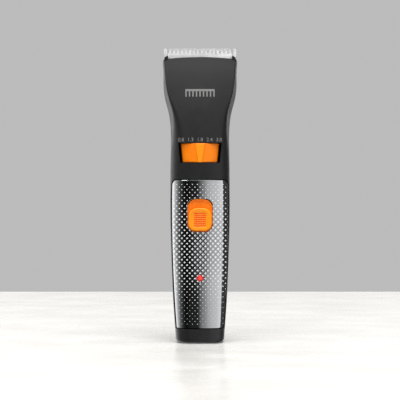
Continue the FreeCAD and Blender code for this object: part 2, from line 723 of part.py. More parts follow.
def make_motor_end_bell():
    low = MOTOR_BOTTOM - BELL_THICK
    high = MOTOR_BOTTOM + BELL_THICK
    return tube(MOTOR_RADIUS - CAN_THICK, SHAFT_RADIUS + SHAFT_CLEAR, low, high)


def make_motor_terminals():
    top = MOTOR_BOTTOM - BELL_THICK
    blade = box(
        BLADE_X - BLADE_HALF_WIDTH, BLADE_X + BLADE_HALF_WIDTH,
        AXIS_Y - BLADE_HALF_THICK, AXIS_Y + BLADE_HALF_THICK, top - BLADE_LENGTH, top)
    return both_sides(blade)


def make_motor_shaft():
    return upright(SHAFT_RADIUS, MOTOR_BOTTOM - BELL_THICK, HUB_TOP - HUB_CAP)


def make_armature():
    core = upright(ARMATURE_RADIUS, ARMATURE_BOTTOM, ARMATURE_TOP)
    for index in range(ARMATURE_POLES):
        slot = box(
            ARMATURE_CORE_RADIUS, REACH, -ARMATURE_SLOT_HALF, ARMATURE_SLOT_HALF,
            ARMATURE_BOTTOM, ARMATURE_TOP)
        slot.rotate(Vector(0, 0, 0), Vector(0, 0, 1), index * 360.0 / ARMATURE_POLES)
        slot.translate(Vector(0, AXIS_Y, 0))
        core = core.cut(slot)
    return core.cut(upright(SHAFT_RADIUS, ARMATURE_BOTTOM, ARMATURE_TOP))


def make_eccentric():
    hub = upright(HUB_RADIUS, HUB_BOTTOM, HUB_TOP)
    pin = upright(CRANK_RADIUS, HUB_TOP, CRANK_TOP, CRANK_THROW)
    return fused([hub, pin]).cut(upright(SHAFT_RADIUS, HUB_BOTTOM, HUB_TOP - HUB_CAP))


def make_drive_frame():
    body = upright(FRAME_OUTER, FRAME_BOTTOM, WINDOW_TOP)
    flange = upright(FLANGE_OUTER, FRAME_BOTTOM, DIAL_BOTTOM - SEAM)
    post = box(-POST_HALF_WIDTH, POST_HALF_WIDTH, POST_FRONT_Y, POST_BACK_Y, MOTOR_TOP, POST_TOP)
    frame = fused([body, flange])
    frame = frame.cut(upright(MOTOR_RADIUS + SLIDER_CLEAR, FRAME_BOTTOM, MOTOR_TOP))
    frame = frame.cut(upright(FRAME_OUTER - FRAME_WALL, FRAME_PLATE_TOP, WINDOW_TOP))
    frame = fused([frame, post])
    frame = frame.cut(upright(FRAME_SHAFT_HOLE, MOTOR_TOP, HUB_TOP + FRAME_HOLE_ABOVE))
    return frame.cut(rod(PIVOT_RADIUS, POST_FRONT_Y, POST_BACK_Y, 0.0, PIVOT_Z))


def make_dial_retainer():
    return tube(RETAINER_OUTER, FRAME_OUTER - FRAME_WALL, WINDOW_TOP, WINDOW_TOP + RETAINER_THICK)


def make_pivot_pin():
    shank = rod(PIVOT_RADIUS, PIVOT_FRONT_Y, POST_BACK_Y, 0.0, PIVOT_Z)
    head_front = PIVOT_FRONT_Y - PIVOT_HEAD_THICK
    head = rod(PIVOT_RADIUS + PIVOT_HEAD_OVER, head_front, PIVOT_FRONT_Y, 0.0, PIVOT_Z)
    return fused([shank, head])


def make_drive_lever():
    hub_front = LEVER_FRONT_Y - LEVER_HUB_PROUD
    hub = rod(LEVER_HUB_RADIUS, hub_front, POST_FRONT_Y - LEVER_HUB_GAP, 0.0, PIVOT_Z)
    tip_z = PIVOT_Z + LEVER_ARM
    half, neck = LEVER_HALF_WIDTH, LEVER_NECK_HALF
    neck_z = BRIDGE_BOTTOM - LEVER_NECK_DROP
    upper = front_prism(
        [(-half, PIVOT_Z), (half, PIVOT_Z), (neck, neck_z), (neck, tip_z), (-neck, tip_z), (-neck, neck_z)],
        LEVER_FRONT_Y, LEVER_ARM_BACK_Y)
    tip = rod(LEVER_TIP_RADIUS, LEVER_FRONT_Y, LEVER_ARM_BACK_Y, 0.0, tip_z)
    fork = front_prism(
        [(-FORK_STEM_HALF, PIVOT_Z), (-FORK_STEM_HALF, FORK_TOP),
         (-FORK_HALF_WIDTH, FORK_TOP), (-FORK_HALF_WIDTH, FORK_BOTTOM),
         (-FORK_HALF_GAP, FORK_BOTTOM), (-FORK_HALF_GAP, FORK_ROOT),
         (FORK_HALF_GAP, FORK_ROOT), (FORK_HALF_GAP, FORK_BOTTOM),
         (FORK_HALF_WIDTH, FORK_BOTTOM), (FORK_HALF_WIDTH, FORK_TOP),
         (FORK_STEM_HALF, FORK_TOP), (FORK_STEM_HALF, PIVOT_Z)],
        AXIS_Y - FORK_HALF_THICK, AXIS_Y + FORK_HALF_THICK)
    lever = fused([hub, upper, tip, fork])
    return lever.cut(rod(PIVOT_RADIUS + PIVOT_CLEAR, -REACH, REACH, 0.0, PIVOT_Z))


def teeth(pitch, count, half_width_root, half_width_tip, root, tip, y0, y1):
    """A row of tapered teeth, centred on x = 0."""
    shapes = []
    first = -pitch * (count - 1) / 2
    for index in range(count):
        x = first + index * pitch
        shapes.append(front_prism(
            [(x - half_width_root, root), (x + half_width_root, root), (x + half_width_tip, tip),
             (x - half_width_tip, tip)], y0, y1))
    return shapes


def make_cutter():
    back = CUTTER_FRONT_Y + CUTTER_THICK
    block = box(-CUTTER_HALF_WIDTH, CUTTER_HALF_WIDTH, CUTTER_FRONT_Y, back, CUTTER_SHOULDER, CUTTER_ROOT)
    stem = box(-CUTTER_STEM_HALF, CUTTER_STEM_HALF, CUTTER_FRONT_Y, back, CUTTER_BOTTOM, CUTTER_SHOULDER)
    row = teeth(
        CUTTER_PITCH, CUTTER_TEETH, CUTTER_TOOTH_ROOT, CUTTER_TOOTH_TIP,
        CUTTER_ROOT, CUTTER_TIP, CUTTER_FRONT_Y, back)
    return fused([block, stem] + row)


def make_cutter_bridge():
    back = CUTTER_FRONT_Y
    bridge = box(-BRIDGE_HALF_WIDTH, BRIDGE_HALF_WIDTH, BRIDGE_FRONT_Y, back, BRIDGE_BOTTOM, BRIDGE_TOP)
    tongue_top = CUTTER_BOTTOM + TONGUE_OVER
    tongue = box(-BRIDGE_HALF_WIDTH, BRIDGE_HALF_WIDTH, back - TONGUE_THICK, back, BRIDGE_TOP, tongue_top)
    half_slot = LEVER_TIP_RADIUS + PIVOT_CLEAR
    slot = box(-half_slot, half_slot, -REACH, LEVER_ARM_BACK_Y + SLIDER_CLEAR, BRIDGE_BOTTOM, BRIDGE_TOP)
    return fused([bridge, tongue]).cut(slot)


def comb_front():
    return CUTTER_FRONT_Y + CUTTER_THICK + COMB_GAP


def make_fixed_blade():
    front = comb_front()
    back = front + COMB_THICK
    stem = box(-COMB_STEM_HALF, COMB_STEM_HALF, front, back, COMB_BOTTOM, COMB_SHOULDER)
    block = box(-COMB_HALF_WIDTH, COMB_HALF_WIDTH, front, back, COMB_SHOULDER, COMB_ROOT)
    row = teeth(
        COMB_PITCH, COMB_TEETH, COMB_TOOTH_ROOT, COMB_TOOTH_TIP, COMB_ROOT, COMB_TIP, front, back)
    radius = COMB_CORNER_TOOTH / 2
    centre = COMB_HALF_WIDTH - radius
    corner = fused([
        box(centre - radius, centre + radius, front, back, COMB_SHOULDER, COMB_TIP - radius),
        rod(radius, front, back, centre, COMB_TIP - radius),
    ])
    comb = fused([block, stem, corner, mirrored(corner)] + row)
    top = COMB_TIP + COMB_RAMP_OVER
    ramp = [(back, COMB_ROOT - COMB_RAMP_DROP), (back + COMB_RAMP_OVER, top), (front + COMB_TIP_THICK, top)]
    return comb.cut(side_prism(ramp, -REACH, REACH))


def make_comb_carrier():
    front = comb_front() + COMB_THICK
    block = box(-CARRIER_HALF_WIDTH, CARRIER_HALF_WIDTH, front, CARRIER_BACK_Y, CARRIER_BOTTOM, CARRIER_TOP)
    return block.cut(make_tension_springs())


def make_comb_strap():
    """The strap that joins the comb's carrier to the dial's cam, close inside the rear shell."""
    front = AXIS_Y + RING_OUTER + STRAP_GAP
    back = front + STRAP_THICK
    toe = CARRIER_BACK_Y
    profile = [
        (front, CAM_Z - STRAP_FOOT_DROP),
        (back, CAM_Z - STRAP_FOOT_DROP),
        (back, CAM_Z + STRAP_BACK_RISE),
        (toe + STRAP_ELBOW_BACK, CARRIER_BOTTOM),
        (toe + STRAP_TOE_THICK, CARRIER_BOTTOM + STRAP_TOE_TOP),
        (toe, CARRIER_BOTTOM + STRAP_TOE_TOP),
        (toe, CARRIER_BOTTOM + STRAP_TOE_BOTTOM),
        (toe + STRAP_ELBOW_FRONT, CARRIER_BOTTOM - STRAP_ELBOW_DROP),
        (front, CAM_Z + STRAP_FRONT_RISE),
    ]
    return side_prism(profile, -STRAP_HALF_WIDTH, STRAP_HALF_WIDTH)


def make_follower_pin():
    front = AXIS_Y + RING_INNER + FOLLOWER_SET_BACK
    return rod(FOLLOWER_RADIUS, front, AXIS_Y + RING_OUTER + STRAP_GAP, 0.0, CAM_Z)


def make_blade_screws():
    back = CARRIER_BACK_Y + BLADE_SCREW_THICK
    return both_sides(rod(BLADE_SCREW_RADIUS, CARRIER_BACK_Y, back, BLADE_SCREW_X, BLADE_SCREW_Z))


def make_tension_springs():
    front = CUTTER_FRONT_Y - SPRING_GAP
    back = front + SPRING_THICK
    foot_end = CARRIER_BACK_Y - SPRING_SET_BACK
    curl_z = SPRING_BEND + SPRING_CURL
    profile = [
        (front, SPRING_BOTTOM),
        (foot_end, SPRING_BOTTOM),
        (foot_end, SPRING_BOTTOM + SPRING_THICK),
        (back, SPRING_BOTTOM + SPRING_THICK),
        (back, SPRING_BEND),
        (back + SPRING_CURL_OUT, curl_z),
        (front + SPRING_CURL_OUT, curl_z + SPRING_CURL),
        (front, curl_z),
    ]
    return both_sides(side_prism(profile, SPRING_INNER_X, SPRING_OUTER_X))


def grip_prism():
    outline = [
        (-GRIP_HALF_BOTTOM, DIAL_BOTTOM), (GRIP_HALF_BOTTOM, DIAL_BOTTOM),
        (GRIP_HALF_TOP, DIAL_TOP), (-GRIP_HALF_TOP, DIAL_TOP),
    ]
    return front_prism(outline, -REACH, AXIS_Y)


def make_length_dial():
    band = tube(GRIP_OUTER, GRIP_INNER, DIAL_BOTTOM, DIAL_TOP).common(grip_prism())
    ridge_z = DIAL_TOP - RIDGE_STRAIGHT
    outline = [
        (-RIDGE_HALF_BOTTOM, DIAL_BOTTOM), (RIDGE_HALF_BOTTOM, DIAL_BOTTOM), (RIDGE_HALF_TOP, ridge_z),
        (RIDGE_HALF_TOP, DIAL_TOP), (-RIDGE_HALF_TOP, DIAL_TOP), (-RIDGE_HALF_TOP, ridge_z),
    ]
    ridge = tube(GRIP_OUTER + RIDGE_HEIGHT, GRIP_INNER, DIAL_BOTTOM, DIAL_TOP)
    ridge = ridge.common(front_prism(outline, -REACH, AXIS_Y))
    return fused([band, ridge])


def cam_slot():
    """The slot that lifts the comb: a band that climbs evenly round the back of the dial."""
    near = RING_INNER - CAM_OVERSHOOT
    far = RING_OUTER + CAM_OVERSHOOT
    wires = []
    for index in range(CAM_STEPS + 1):
        swing = math.radians(CAM_HALF_ANGLE) * (2.0 * index / CAM_STEPS - 1.0)
        middle = CAM_Z - CAM_RISE * swing
        outward = Vector(-math.sin(swing), math.cos(swing), 0)
        corners = []
        for distance, height in ((near, -1), (far, -1), (far, 1), (near, 1)):
            corners.append(outward * distance + Vector(0, AXIS_Y, middle + height * CAM_HALF_HEIGHT))
        wires.append(Part.makePolygon(corners + corners[:1]))
    return Part.makeLoft(wires, True, False)


def make_dial_ring():
    ring = tube(RING_OUTER, RING_INNER, DIAL_BOTTOM, DIAL_TOP)
    ring = ring.cut(tube(GRIP_OUTER, GRIP_INNER, DIAL_BOTTOM, DIAL_TOP).common(grip_prism()))
    ring = ring.cut(cam_slot())
    for index in range(DETENT_NOTCHES):
        turn = (index - (DETENT_NOTCHES - 1) / 2) * DETENT_STEP
        notch = upright(DETENT_RADIUS, DIAL_BOTTOM, DIAL_TOP, RING_OUTER + DETENT_OUTSET, 0.0)
        notch.rotate(Vector(0, 0, 0), Vector(0, 0, 1), turn)
        ring = ring.cut(detent_place(notch))
    return ring


def make_detent_spring():
    """A leaf drawn on the +X side of the dial's axis, its bump just clear of the ring."""
    crest = RING_OUTER + LEAF_CLEAR
    flat = crest + LEAF_BUMP_HEIGHT
    end = DETENT_SEAT - LEAF_THICK
    half_side = [(flat, LEAF_BUMP_HALF), (flat, LEAF_BEND), (end, LEAF_HALF_LENGTH)]
    inner_side = [(x, -y) for x, y in reversed(half_side)] + [(crest, 0.0)] + half_side
    outer_side = [(x + LEAF_THICK, y) for x, y in reversed(inner_side)]
    corners = [Vector(x, y, CAM_Z - LEAF_HEIGHT / 2) for x, y in inner_side + outer_side]
    leaf = Part.Face(Part.makePolygon(corners + corners[:1])).extrude(Vector(0, 0, LEAF_HEIGHT))
    return detent_place(leaf)


def make_shell_screws():
    seat = SPLIT_Y + SCREW_SEAT
    screws = []
    for x, z in screw_places():
        shank = rod(SCREW_RADIUS, SPLIT_Y - SCREW_BITE, seat, x, z)
        head = rod(SCREW_HEAD_RADIUS, seat, seat + SCREW_HEAD_LENGTH, x, z)
        screws.append(fused([shank, head]))
    return Part.makeCompound(screws)


def main():
    os.makedirs("parts", exist_ok=True)
    outer = casing(0.0)
    foot = [edge for edge in outer.Edges if edge.BoundBox.ZMax < CORNER_KEPT]
    outer = outer.makeFillet(FOOT_RADIUS, foot)
    under_panel = casing(PANEL_THICK)
    under_grooves = casing(GROOVE_DEPTH)
    inner = casing(WALL)
    rear_shell = make_rear_shell(outer, under_grooves, inner)
    slider_front = -rear_shell.optimalBoundingBox(False).YMax

    export(make_front_shell(outer, under_panel, inner), "front_shell")
    export(rear_shell, "rear_shell")
    export(make_blade_cover(outer, inner), "blade_cover")
    export(make_end_cap(outer, inner), "end_cap")
    export(make_front_panel(outer, under_panel), "front_panel")
    export(make_switch_bezel(outer), "switch_bezel")
    export(make_power_slider(slider_front), "power_slider")
    export(make_switch_knob(), "switch_knob")
    export(make_slide_switch(), "slide_switch")
    export(make_circuit_board(), "circuit_board")
    export(make_board_chips(), "board_chips")
    export(make_lens(outer), "lamp_lens")
    export(make_lamp(), "status_lamp")
    export(make_cell(), "battery_cell")
    export(make_cradle(), "battery_cradle")
    cell_top = CELL_BOTTOM + CELL_LENGTH
    export(make_tab(cell_top, cell_top - POSITIVE_LEG), "positive_tab")
    export(make_tab(CELL_BOTTOM - TAB_THICK, NEGATIVE_LEG_TOP), "negative_tab")
    export(make_charge_jack(), "charge_jack")
    export(make_jack_terminals(), "jack_terminals")
    export(make_motor_can(), "motor_can")
    export(make_motor_magnets(), "motor_magnets")
    export(make_motor_end_bell(), "motor_end_bell")
    export(make_motor_terminals(), "motor_terminals")
    export(make_motor_shaft(), "motor_shaft")
    export(make_armature(), "armature")
    export(make_eccentric(), "eccentric")
    export(make_drive_frame(), "drive_frame")
    export(make_dial_retainer(), "dial_retainer")
    export(make_pivot_pin(), "pivot_pin")
    export(make_drive_lever(), "drive_lever")
    export(make_cutter(), "cutter")
    export(make_cutter_bridge(), "cutter_bridge")
    export(make_fixed_blade(), "fixed_blade")
    export(make_comb_carrier(), "comb_carrier")
    export(make_comb_strap(), "comb_strap")
    export(make_follower_pin(), "follower_pin")
    export(make_blade_screws(), "blade_screws")
    export(make_tension_springs(), "tension_springs")
    export(make_length_dial(), "length_dial")
    export(make_dial_ring(), "dial_ring")
    export(make_detent_spring(), "detent_spring")
    export(make_shell_screws(), "shell_screws")


main()
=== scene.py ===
import math

import bmesh
import bpy
import numpy as np
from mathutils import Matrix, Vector
from mathutils.bvhtree import BVHTree


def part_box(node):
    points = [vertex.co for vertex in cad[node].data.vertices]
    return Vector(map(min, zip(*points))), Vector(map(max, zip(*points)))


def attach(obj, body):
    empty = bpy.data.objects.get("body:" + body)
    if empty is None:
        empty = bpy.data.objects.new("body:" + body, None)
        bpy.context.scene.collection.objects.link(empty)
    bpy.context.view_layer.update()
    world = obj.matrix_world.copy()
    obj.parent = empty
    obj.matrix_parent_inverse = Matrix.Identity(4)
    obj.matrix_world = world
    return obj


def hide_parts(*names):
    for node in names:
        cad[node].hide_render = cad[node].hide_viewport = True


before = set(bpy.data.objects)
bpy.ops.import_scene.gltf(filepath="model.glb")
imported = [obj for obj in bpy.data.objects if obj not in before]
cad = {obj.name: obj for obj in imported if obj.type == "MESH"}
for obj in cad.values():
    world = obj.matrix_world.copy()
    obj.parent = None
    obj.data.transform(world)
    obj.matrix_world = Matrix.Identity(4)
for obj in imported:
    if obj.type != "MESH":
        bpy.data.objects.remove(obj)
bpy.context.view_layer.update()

MM = 0.001
RAY_START = -0.2                # y well in front of the clipper
FAR = 100.0                     # further than anything here, in any unit
PRINT_LIFT = 0.02 * MM          # printed marks stand this far off the casing
PRINT_THICK = 0.03 * MM
MIX_A, MIX_B, MIX_RESULT = 6, 7, 2      # the colour sockets of a Mix node
NOISE_LOW, NOISE_HIGH = 0.3, 0.7        # the noise that counts: what lies outside is cut off
STUD_LOW, STUD_HIGH = 0.25, 0.6         # where the panel's finish turns from plating to stud


# ---- Materials -----------------------------------------------------------------------------------

def add(tree, kind, **settings):
    """A shader node with its attributes set."""
    node = tree.nodes.new(kind)
    for key, value in settings.items():
        setattr(node, key, value)
    return node


def wire(tree, source, output, target, socket):
    tree.links.new(source.outputs[output], target.inputs[socket])


def noise(tree, scale, stretch=(1.0, 1.0, 1.0), detail=2.0):
    """Noise in the clipper's own space. Scale is in features for each metre."""
    place = add(tree, "ShaderNodeTexCoord")
    mapping = add(tree, "ShaderNodeMapping")
    mapping.inputs["Scale"].default_value = stretch
    texture = add(tree, "ShaderNodeTexNoise")
    texture.inputs["Scale"].default_value = scale
    texture.inputs["Detail"].default_value = detail
    wire(tree, place, "Object", mapping, "Vector")
    wire(tree, mapping, "Vector", texture, "Vector")
    return texture


def vary(tree, texture, target, socket, low, high):
    """Noise drives a number between low and high."""
    spread = add(tree, "ShaderNodeMapRange")
    spread.inputs["From Min"].default_value = NOISE_LOW
    spread.inputs["From Max"].default_value = NOISE_HIGH
    spread.inputs["To Min"].default_value = low
    spread.inputs["To Max"].default_value = high
    wire(tree, texture, "Fac", spread, "Value")
    wire(tree, spread, "Result", target, socket)


def tint(tree, texture, target, dark, light):
    """Noise drives the base colour between two close shades."""
    ramp = ramp_between(tree, texture, "Fac", NOISE_LOW, NOISE_HIGH, dark, light)
    wire(tree, ramp, "Color", target, "Base Color")


def bump(tree, texture, target, strength, height):
    node = add(tree, "ShaderNodeBump")
    node.inputs["Strength"].default_value = strength
    node.inputs["Distance"].default_value = height
    wire(tree, texture, "Fac", node, "Height")
    wire(tree, node, "Normal", target, "Normal")


def blank(name):
    material = bpy.data.materials.new(name)
    material.use_nodes = True
    return material, material.node_tree, material.node_tree.nodes["Principled BSDF"]


def shaded(colour, factor):
    return tuple(min(channel * factor, 1.0) for channel in colour)


def moulded(name, colour, roughness, grain_size, grain_depth, strength=0.5, specular=0.5, sheen=0.0):
    """Moulded plastic: a fine spark-eroded grain, slightly uneven gloss and colour."""
    material, tree, shader = blank(name)
    cloud = noise(tree, 60.0)
    tint(tree, cloud, shader, shaded(colour, 0.92), shaded(colour, 1.08))
    vary(tree, noise(tree, 220.0, detail=4.0), shader, "Roughness", roughness - 0.05, roughness + 0.05)
    bump(tree, noise(tree, 1.0 / grain_size), shader, strength, grain_depth)
    shader.inputs["Specular IOR Level"].default_value = specular
    shader.inputs["Sheen Weight"].default_value = sheen
    shader.inputs["Sheen Roughness"].default_value = 0.4
    return material


def ground_metal(name, colour, roughness, line_size, stretch, metallic=1.0):
    """Metal with fine grinding lines, drawn out along one direction."""
    material, tree, shader = blank(name)
    lines = noise(tree, 1.0 / line_size, stretch, detail=3.0)
    tint(tree, lines, shader, shaded(colour, 0.94), shaded(colour, 1.04))
    vary(tree, noise(tree, 300.0, detail=3.0), shader, "Roughness", roughness - 0.06, roughness + 0.06)
    bump(tree, lines, shader, 0.25, 0.01 * MM)
    shader.inputs["Metallic"].default_value = metallic
    return material


def ramp_between(tree, source, output, low, high, dark, light):
    """A colour ramp from dark to light as the source goes from low to high."""
    ramp = add(tree, "ShaderNodeValToRGB")
    ramp.color_ramp.elements[0].position = low
    ramp.color_ramp.elements[1].position = high
    ramp.color_ramp.elements[0].color = (*dark, 1.0)
    ramp.color_ramp.elements[1].color = (*light, 1.0)
    wire(tree, source, output, ramp, "Fac")
    return ramp


def mirror_with_studs(name):
    """The front panel: mirror plating, satin white studs, painted shade in the grooves and round the edge."""
    material, tree, shader = blank(name)
    stud = add(tree, "ShaderNodeAttribute", attribute_name="stud")
    groove_and_shade = add(tree, "ShaderNodeAttribute", attribute_name="groove_and_shade")
    face = ramp_between(tree, stud, "Fac", STUD_LOW, STUD_HIGH, (0.78, 0.79, 0.81), (0.90, 0.92, 0.94))
    # Painted shade: the base colour turns near black where the groove value is high, in the grooves and round
    # the panel's edge.
    painted_shade = ramp_between(tree, groove_and_shade, "Fac", 0.2, 0.9, (1.0, 1.0, 1.0), (0.02, 0.02, 0.022))
    both = add(tree, "ShaderNodeMix", data_type="RGBA", blend_type="MULTIPLY")
    both.inputs["Factor"].default_value = 1.0
    tree.links.new(face.outputs["Color"], both.inputs[MIX_A])
    tree.links.new(painted_shade.outputs["Color"], both.inputs[MIX_B])
    tree.links.new(both.outputs[MIX_RESULT], shader.inputs["Base Color"])
    for socket, plated, painted in (("Roughness", 0.03, 0.40), ("Metallic", 1.0, 0.1)):
        spread = add(tree, "ShaderNodeMapRange")
        spread.inputs["From Min"].default_value = STUD_LOW
        spread.inputs["From Max"].default_value = STUD_HIGH
        spread.inputs["To Min"].default_value = plated
        spread.inputs["To Max"].default_value = painted
        wire(tree, stud, "Fac", spread, "Value")
        wire(tree, spread, "Result", shader, socket)
    bump(tree, noise(tree, 900.0), shader, 0.03, 0.003 * MM)
    return material


def glowing_lens(name):
    """Red lens, lit from behind and brightest at its core."""
    material, tree, shader = blank(name)
    core = add(tree, "ShaderNodeAttribute", attribute_name="core")
    for socket, edge_colour, core_colour in (
        ("Base Color", (0.45, 0.004, 0.004), (0.85, 0.03, 0.02)),
        ("Emission Color", (0.30, 0.0, 0.0), (1.0, 0.10, 0.08)),
    ):
        ramp = ramp_between(tree, core, "Fac", 0.2, 0.8, edge_colour, core_colour)
        wire(tree, ramp, "Color", shader, socket)
    shader.inputs["Emission Strength"].default_value = 0.8
    shader.inputs["Coat Weight"].default_value = 0.6
    vary(tree, noise(tree, 400.0), shader, "Roughness", 0.15, 0.22)
    return material


def marble(name):
    """The pale worktop: soft warm veins and a low polish."""
    material, tree, shader = blank(name)
    veins = noise(tree, 14.0, (1.0, 2.2, 1.0), detail=8.0)
    tint(tree, veins, shader, (0.70, 0.68, 0.64), (0.82, 0.81, 0.78))
    vary(tree, noise(tree, 30.0), shader, "Roughness", 0.22, 0.32)
    return material


BLACK = (0.0105, 0.0105, 0.0115)
ORANGE = (0.97, 0.22, 0.002)
# Painted shade: a darker copy of the orange for the pad's grooves.
RIB_SHADE_ORANGE = (0.92, 0.12, 0.001)
# Painted highlight: a lighter copy of the orange for the raised pad and the dial's ridge.
HIGHLIGHT_ORANGE = (1.0, 0.30, 0.006)
STEEL = (0.94, 0.94, 0.95)
FINE_GRAIN = 0.2 * MM
FINE_DEPTH = 0.006 * MM
FINE_STRENGTH = 0.3

satin_black = moulded("satin_black_plastic", BLACK, 0.46, 0.25 * MM, 0.02 * MM, specular=0.42, sheen=0.03)
cap_black = moulded("dark_grey_plastic", (0.016, 0.016, 0.0165), 0.36, 0.3 * MM, 0.02 * MM, sheen=0.12)
ring_black = moulded("black_acetal", (0.012, 0.012, 0.013), 0.35, 0.2 * MM, 0.01 * MM)
orange = moulded("orange_plastic", ORANGE, 0.36, FINE_GRAIN, FINE_DEPTH, FINE_STRENGTH, specular=0.3)
rib_shade_orange = moulded(
    "rib_shade_orange_plastic", RIB_SHADE_ORANGE, 0.45, FINE_GRAIN, FINE_DEPTH, FINE_STRENGTH, specular=0.2)
highlight_orange = moulded(
    "highlight_orange_plastic", HIGHLIGHT_ORANGE, 0.33, FINE_GRAIN, FINE_DEPTH, FINE_STRENGTH, specular=0.3)
print_grey = moulded("pale_grey_print", (0.20, 0.20, 0.20), 0.5, 0.15 * MM, 0.004 * MM)
blade_steel = ground_metal("ground_blade_steel", STEEL, 0.38, 0.12 * MM, (1.0, 1.0, 0.08), 0.5)
# Painted shade: a near-black steel for the side faces between the teeth, where the gaps fall into shade.
slot_shade_steel = ground_metal("painted_slot_shade_steel", (0.05, 0.05, 0.053), 0.5, 0.12 * MM, (1.0, 0.1, 1.0), 0.6)
spring_steel = ground_metal("plated_spring_steel", (0.62, 0.63, 0.65), 0.28, 0.2 * MM, (0.1, 1.0, 1.0))
can_steel = ground_metal("zinc_plated_steel", (0.58, 0.59, 0.60), 0.35, 0.3 * MM, (1.0, 1.0, 0.1))
contact_metal = ground_metal("tinned_brass", (0.80, 0.66, 0.36), 0.3, 0.2 * MM, (0.2, 1.0, 1.0))
magnet = moulded("sintered_ferrite", (0.05, 0.05, 0.055), 0.7, 0.1 * MM, 0.02 * MM)
acetal = moulded("natural_acetal", (0.78, 0.78, 0.74), 0.4, 0.25 * MM, 0.01 * MM)
nylon = moulded("glass_filled_nylon", (0.05, 0.053, 0.058), 0.55, 0.15 * MM, 0.02 * MM)
board_green = moulded("solder_mask", (0.01, 0.13, 0.045), 0.3, 0.5 * MM, 0.01 * MM)
chip_black = moulded("chip_epoxy", (0.012, 0.012, 0.012), 0.6, 0.1 * MM, 0.01 * MM)
cell_wrap = moulded("cell_wrap", (0.02, 0.10, 0.30), 0.25, 0.8 * MM, 0.02 * MM)
panel_mirror = mirror_with_studs("dotted_mirror")
lens_red = glowing_lens("lit_red_lens")

CAD_FINISH = {
    satin_black: ["front_shell", "rear_shell", "blade_cover"],
    cap_black: ["end_cap"],
    ring_black: ["dial_ring", "dial_retainer", "switch_knob", "slide_switch"],
    spring_steel: ["tension_springs", "detent_spring", "pivot_pin", "shell_screws", "blade_screws",
                   "follower_pin", "motor_shaft"],
    can_steel: ["motor_can", "armature"],
    contact_metal: ["positive_tab", "negative_tab", "jack_terminals", "motor_terminals"],
    magnet: ["motor_magnets"],
    acetal: ["drive_lever", "cutter_bridge", "eccentric", "comb_carrier", "comb_strap"],
    nylon: ["drive_frame", "battery_cradle", "charge_jack", "motor_end_bell"],
    board_green: ["circuit_board"],
    chip_black: ["board_chips"],
    cell_wrap: ["battery_cell"],
    lens_red: ["status_lamp"],
}


def finish_cad_nodes():
    for material, names in CAD_FINISH.items():
        for name in names:
            for material_slot in cad[name].material_slots:
                material_slot.link = "OBJECT"
                material_slot.material = material


# ---- Mesh helpers --------------------------------------------------------------------------------

def make_object(name, vertices, faces, material, smooth_angle=40.0):
    mesh = bpy.data.meshes.new(name)
    mesh.from_pydata([tuple(v) for v in vertices], [], [tuple(f) for f in faces])
    mesh.validate()
    mesh.polygons.foreach_set("use_smooth", [True] * len(mesh.polygons))
    mesh.set_sharp_from_angle(angle=math.radians(smooth_angle))
    mesh.materials.append(material)
    piece = bpy.data.objects.new(name, mesh)
    bpy.context.scene.collection.objects.link(piece)
    return piece


def stand_for(piece, body, slot, *replaced):
    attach(piece, body)
    if replaced:
        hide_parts(*replaced)
    return piece


def grid_faces(rows, columns, keep=None):
    """Quads of a rows by columns grid, without those that touch a dropped vertex."""
    index = np.arange(rows * columns).reshape(rows, columns)
    quads = np.stack([index[:-1, :-1], index[:-1, 1:], index[1:, 1:], index[1:, :-1]], -1).reshape(-1, 4)
    if keep is None:
        return quads
    return quads[keep.reshape(-1)[quads].all(axis=1)]


def without_loose(vertices, faces, values):
    """Drops the vertices that no face uses."""
    used = np.unique(faces)
    renumber = np.full(len(vertices), -1)
    renumber[used] = np.arange(len(used))
    return vertices[used], renumber[faces], values[used]


def solidify(piece, thickness):
    modifier = piece.modifiers.new("thickness", "SOLIDIFY")
    modifier.thickness = thickness
    modifier.offset = -1.0
    apply_modifiers(piece)


def apply_modifiers(piece):
    graph = bpy.context.evaluated_depsgraph_get()
    mesh = bpy.data.meshes.new_from_object(
        piece.evaluated_get(graph), preserve_all_data_layers=True, depsgraph=graph)
    piece.modifiers.clear()
    piece.data = mesh


def vertex_values(piece, name, values):
    attribute = piece.data.attributes.new(name, "FLOAT", "POINT")
    attribute.data.foreach_set("value", np.asarray(values, np.float32))


def tree_of(node):
    mesh = cad[node].data
    return BVHTree.FromPolygons(
        [v.co.copy() for v in mesh.vertices], [list(p.vertices) for p in mesh.polygons])


def front_of(tree, x, z):
    """The y of the first surface met from the front at (x, z), or None."""
    hit = tree.ray_cast(Vector((x, RAY_START, z)), Vector((0, 1, 0)))[0]
    return None if hit is None else hit.y


def smooth_step(low, high, value):
    share = np.clip((value - low) / (high - low), 0.0, 1.0)
    return share * share * (3 - 2 * share)


# ---- Front panel ---------------------------------------------------------------------------------

PANEL_LOW, PANEL_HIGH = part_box("front_panel")
BEZEL_LOW, BEZEL_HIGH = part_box("switch_bezel")
LENS_LOW, LENS_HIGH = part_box("lamp_lens")
LAMP_Z = (LENS_LOW.z + LENS_HIGH.z) / 2
LENS_RADIUS = (LENS_HIGH.x - LENS_LOW.x) / 2
PANEL_STEP = 0.15 * MM
PANEL_THICK = 0.9 * MM
PANEL_COLUMNS = 235
RIM_ROWS = 8                     # rows of points over the rounding at the top and at the bottom
PANEL_GAP = 0.25 * MM            # open line round the switch
BEZEL_CORNER = 4.5 * MM
FIT_POWERS_ACROSS = (0, 2, 4, 6, 8, 10)
FIT_POWERS_UP = (0, 1, 2, 3, 4)

